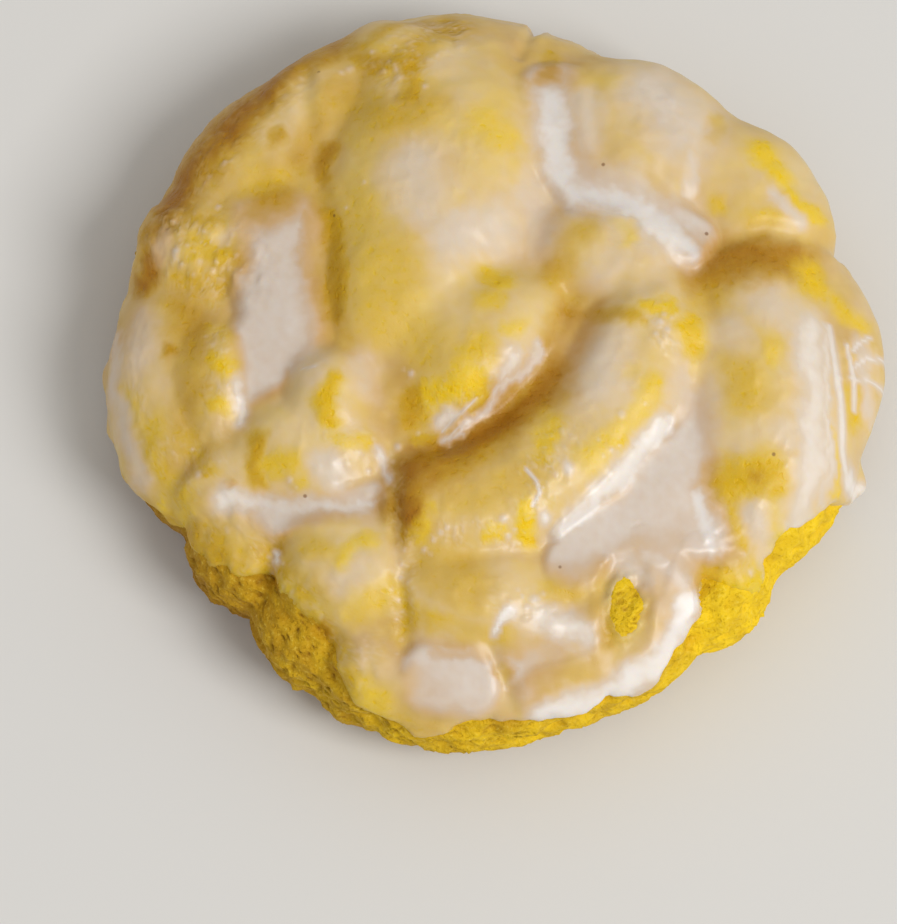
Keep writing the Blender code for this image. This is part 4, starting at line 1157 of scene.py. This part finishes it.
def calculate(tree, operation, first, second, clamp=False):
    node = addNode(tree, "ShaderNodeMath", {"operation": operation, "use_clamp": clamp})
    feed(tree, node.inputs[0], first)
    feed(tree, node.inputs[1], second)
    return node.outputs[0]


def blendColours(tree, share, first, second):
    node = addNode(tree, "ShaderNodeMix", {"data_type": "RGBA"})
    for place, value in zip((0, 6, 7), (share, first, second)):
        feed(tree, node.inputs[place], value)
    return node.outputs[2]


def colourRamp(tree, value, stops):
    node = tree.nodes.new("ShaderNodeValToRGB")
    ramp = node.color_ramp
    while len(ramp.elements) < len(stops):
        ramp.elements.new(0.5)
    for element, (place, colour) in zip(ramp.elements, stops):
        element.position = place
        element.color = fromScreen(colour)
    tree.links.new(value, node.inputs[0])
    return node.outputs[0]


def fromScreen(colour):
    # a colour as a screen shows it, 0 to 255, made linear
    share = [c / 255 for c in colour]
    return tuple(c / 12.92 if c < 0.04045 else ((c + 0.055) / 1.055) ** 2.4 for c in share) + (1.0,)


def startMaterial(name):
    material = bpy.data.materials.new(name)
    material.use_nodes = True
    tree = material.node_tree
    shader = tree.nodes["Principled BSDF"]
    where = tree.nodes.new("ShaderNodeTexCoord").outputs["Object"]
    inMillimetres = addNode(tree, "ShaderNodeMapping", Vector=where, Scale=(1 / mm, 1 / mm, 1 / mm))
    return material, tree, shader, inMillimetres.outputs[0]


def paintValue(tree, name):
    return addNode(tree, "ShaderNodeAttribute", {"attribute_name": name}).outputs["Fac"]


def addBump(tree, shader, height, finish):
    bump = addNode(tree, "ShaderNodeBump", Strength=finish["bumpStrength"], Height=height)
    bump.inputs["Distance"].default_value = finish["bumpDistance"] * mm
    tree.links.new(bump.outputs[0], shader.inputs["Normal"])


# The crumb's grain and the gaps in it; each span gives what comes in, low and high, and what goes out
crumbGrain = {
    "grain": {"Detail": 3.0, "Roughness": 0.65},
    "gaps": {"Detail": 2.0, "Distortion": 0.5},
    "pores": (0.42, 0.27, 0.0, 1.0),
    "poreDepth": 0.6,
    "flecks": (0.55, 0.75, 0.0, 1.0),
}


def crumbGroup():
    # crumb grain and pores, shared by the bare dough and the dough that shows through thin glaze
    group = bpy.data.node_groups.new("lemonCrumb", "ShaderNodeTree")
    for name, kind, way in (
        ("Place", "NodeSocketVector", "INPUT"),
        ("Grain per mm", "NodeSocketFloat", "INPUT"),
        ("Height", "NodeSocketFloat", "OUTPUT"),
        ("Pores", "NodeSocketFloat", "OUTPUT"),
        ("Flecks", "NodeSocketFloat", "OUTPUT"),
    ):
        group.interface.new_socket(name, in_out=way, socket_type=kind)
    start = group.nodes.new("NodeGroupInput").outputs
    end = group.nodes.new("NodeGroupOutput").inputs
    where = {"Vector": start["Place"], "Scale": start["Grain per mm"]}
    grain = addNode(group, "ShaderNodeTexNoise", **where, **crumbGrain["grain"]).outputs[0]
    gaps = addNode(group, "ShaderNodeTexNoise", **where, **crumbGrain["gaps"]).outputs[0]
    pores = remap(group, gaps, crumbGrain["pores"])
    sunk = calculate(group, "MULTIPLY", pores, crumbGrain["poreDepth"])
    group.links.new(calculate(group, "SUBTRACT", grain, sunk), end["Height"])
    group.links.new(pores, end["Pores"])
    group.links.new(remap(group, grain, crumbGrain["flecks"]), end["Flecks"])
    return group


def crumbIn(tree, crumb, place, perMm):
    return addNode(tree, "ShaderNodeGroup", {"node_tree": crumb}, Place=place, Grain_per_mm=perMm).outputs


# The baked dough's colours, as a screen shows them; the crevice and pore colours are painted shade, and the
# foot colour is partly painted shade
doughColours = {
    "lemon": (250, 210, 22),
    "golden": (188, 142, 12),
    "footAndShade": (150, 100, 12),
    "crevice": (140, 88, 6),
    "poreShade": (176, 122, 8),
    "fleck": (252, 228, 96),
}
doughFinish = {
    "grainPerMm": 2.6,
    "fleckShare": 0.45,
    "poreShare": (0.0, 1.0, 0.06, 0.3),
    "roughness": (0.0, 1.0, 0.9, 0.55),
    "bumpStrength": 0.6,
    "bumpDistance": 0.3,
    "specular": 0.3,
}


def doughMaterial(crumb):
    material, tree, shader, place = startMaterial("bakedDough")
    grain = crumbIn(tree, crumb, place, doughFinish["grainPerMm"])
    colours = {name: fromScreen(colour) for name, colour in doughColours.items()}
    # toasting, and painted shade darkening the left side
    body = blendColours(tree, paintValue(tree, "toastAndShade"), colours["lemon"], colours["golden"])
    flecks = calculate(tree, "MULTIPLY", grain["Flecks"], doughFinish["fleckShare"])
    flecked = blendColours(tree, flecks, body, colours["fleck"])
    # the browned foot, partly painted shade
    baked = blendColours(tree, paintValue(tree, "footAndShade"), flecked, colours["footAndShade"])
    # painted shade in the sunk pores
    poreShare = remap(tree, paintValue(tree, "loose"), doughFinish["poreShare"])
    pored = blendColours(tree, calculate(tree, "MULTIPLY", grain["Pores"], poreShare), baked, colours["poreShade"])
    # painted shade in the crevices and between the clumps
    colour = blendColours(tree, paintValue(tree, "hollowShade"), pored, colours["crevice"])
    tree.links.new(colour, shader.inputs["Base Color"])
    tree.links.new(remap(tree, grain["Height"], doughFinish["roughness"]), shader.inputs["Roughness"])
    shader.inputs["Specular IOR Level"].default_value = doughFinish["specular"]
    addBump(tree, shader, grain["Height"], doughFinish)
    return material


# The glaze's colours as a screen shows them, from bare to milky, over fresh and over browned dough, the
# browned ones also for painted shade
glazeColours = {
    "overFresh": [
        (0.0, (240, 199, 8)), (0.2, (236, 201, 64)), (0.4, (232, 202, 118)), (0.6, (229, 204, 158)),
        (0.8, (224, 207, 184)), (1.0, (246, 238, 229)),
    ],
    "overBrownAndShade": [
        (0.0, (168, 110, 0)), (0.2, (172, 117, 20)), (0.4, (184, 136, 62)), (0.6, (200, 158, 105)),
        (0.8, (206, 180, 154)), (1.0, (219, 211, 204)),
    ],
    "speck": (120, 76, 30),
}
glazeFinish = {
    "grainPerMm": 1.3,
    "grainMilk": 0.55,
    "clear": (0.4, 0.05, 0.0, 1.0),
    "specksPerMm": 0.16,
    "speckEdge": (0.04, 0.02, 0.0, 1.0),
    "speckShare": 0.7,
    "roughness": (0.0, 1.0, 0.5, 0.36),
    "bumpStrength": 0.5,
    "bumpDistance": 0.25,
    "shine": (0.1, 1.0, 0.06, 0.4),
    "shineRoughness": 0.22,
    "shineIor": 1.45,
    "specular": 0.32,
    "depth": 0.25,
    "depthColour": (1.0, 0.7, 0.35),
    "depthReach": 1.2,
}


def glazeMaterial(crumb):
    material, tree, shader, place = startMaterial("lemonSugarGlaze")
    grain = crumbIn(tree, crumb, place, glazeFinish["grainPerMm"])
    # the milk also holds painted highlights
    milkAndHighlights = paintValue(tree, "milkAndHighlights")
    clear = remap(tree, milkAndHighlights, glazeFinish["clear"])
    lean = calculate(tree, "SUBTRACT", grain["Height"], 0.5)
    grained = calculate(tree, "MULTIPLY", lean, calculate(tree, "MULTIPLY", clear, glazeFinish["grainMilk"]))
    shownMilkAndHighlights = calculate(tree, "ADD", milkAndHighlights, grained, clamp=True)
    fresh = colourRamp(tree, shownMilkAndHighlights, glazeColours["overFresh"])
    browned = colourRamp(tree, shownMilkAndHighlights, glazeColours["overBrownAndShade"])
    # the brown share holds painted shade on walls, in creases and in pools
    colour = blendColours(tree, paintValue(tree, "brownAndShade"), fresh, browned)
    cells = addNode(tree, "ShaderNodeTexVoronoi", Vector=place, Scale=glazeFinish["specksPerMm"])
    specks = remap(tree, cells.outputs["Distance"], glazeFinish["speckEdge"])
    speckShare = calculate(tree, "MULTIPLY", specks, glazeFinish["speckShare"])
    speckled = blendColours(tree, speckShare, colour, fromScreen(glazeColours["speck"]))
    tree.links.new(speckled, shader.inputs["Base Color"])
    tree.links.new(remap(tree, milkAndHighlights, glazeFinish["roughness"]), shader.inputs["Roughness"])
    tree.links.new(remap(tree, milkAndHighlights, glazeFinish["shine"]), shader.inputs["Coat Weight"])
    shader.inputs["Coat Roughness"].default_value = glazeFinish["shineRoughness"]
    shader.inputs["Coat IOR"].default_value = glazeFinish["shineIor"]
    shader.inputs["Specular IOR Level"].default_value = glazeFinish["specular"]
    shader.inputs["Subsurface Weight"].default_value = glazeFinish["depth"]
    shader.inputs["Subsurface Radius"].default_value = glazeFinish["depthColour"]
    shader.inputs["Subsurface Scale"].default_value = glazeFinish["depthReach"] * mm
    addBump(tree, shader, calculate(tree, "MULTIPLY", grain["Height"], clear), glazeFinish)
    return material


crumb = crumbGroup()
cookieDough = makeDough()
cookieDough.data.materials.append(doughMaterial(crumb))
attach(cookieDough, "root")
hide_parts("cookie")

lemonGlaze = makeGlaze()
lemonGlaze.data.materials.append(glazeMaterial(crumb))
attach(lemonGlaze, "root")
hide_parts("glaze")

# The photograph's view: how steeply it looks down, how wide a pixel is on the cookie, and the point of
# the cookie that lies at the target pixel
view = {
    "elevation": 73.0,
    "pixelSize": 0.0983,
    "distance": 600.0,
    "target": (0.4, -1.7, 11.5),
    "targetPixel": (497.0, 383.0),
    "photoSize": (897, 924),
    "sensorWidth": 36.0,
}


def setCamera():
    tilt = math.radians(view["elevation"])
    back = Vector((0.0, -math.cos(tilt), math.sin(tilt)))
    right = Vector((1.0, 0.0, 0.0))
    up = back.cross(right)
    width, height = view["photoSize"]
    aside = (view["targetPixel"][0] - width / 2) * view["pixelSize"]
    above = (view["targetPixel"][1] - height / 2) * view["pixelSize"]
    middle = Vector(view["target"]) - right * aside + up * above
    data = bpy.data.cameras.new("photoCamera")
    camera = bpy.data.objects.new("photoCamera", data)
    bpy.context.scene.collection.objects.link(camera)
    camera.location = (middle + back * view["distance"]) * mm
    camera.rotation_euler = (-back).to_track_quat("-Z", "Y").to_euler()
    data.sensor_width = view["sensorWidth"]
    data.lens = view["sensorWidth"] * view["distance"] / (height * view["pixelSize"])
    bpy.context.scene.camera = camera


# The studio: a big soft lamp high on the right, a pale even sky and a pale floor
studio = {
    "keyPlace": (900.0, -580.0, 1250.0),
    "keySize": 760.0,
    "keyPower": 16.2,
    "skyColour": (1.0, 0.99, 0.975, 1.0),
    "skyStrength": 0.5,
    "floorSize": 4000.0,
    "floorColour": (222, 220, 216),
    "floorRoughness": 0.9,
}


def setStudio():
    data = bpy.data.lights.new("keyLamp", "AREA")
    data.size = studio["keySize"] * mm
    data.energy = studio["keyPower"]
    lamp = bpy.data.objects.new("keyLamp", data)
    bpy.context.scene.collection.objects.link(lamp)
    lamp.location = Vector(studio["keyPlace"]) * mm
    lamp.rotation_euler = (-lamp.location).to_track_quat("-Z", "Y").to_euler()
    world = bpy.data.worlds.new("studioSky")
    world.use_nodes = True
    sky = world.node_tree.nodes["Background"]
    sky.inputs["Color"].default_value = studio["skyColour"]
    sky.inputs["Strength"].default_value = studio["skyStrength"]
    bpy.context.scene.world = world
    bpy.ops.mesh.primitive_plane_add(size=studio["floorSize"] * mm, location=(0.0, 0.0, 0.0))
    floor = bpy.context.object
    floor.name = "paleFloor"
    paper = bpy.data.materials.new("palePaper")
    paper.use_nodes = True
    matt = paper.node_tree.nodes["Principled BSDF"]
    matt.inputs["Base Color"].default_value = fromScreen(studio["floorColour"])
    matt.inputs["Roughness"].default_value = studio["floorRoughness"]
    floor.data.materials.append(paper)


setCamera()
setStudio()
bpy.context.scene.view_settings.view_transform = "Standard"
print("camera and studio are set")
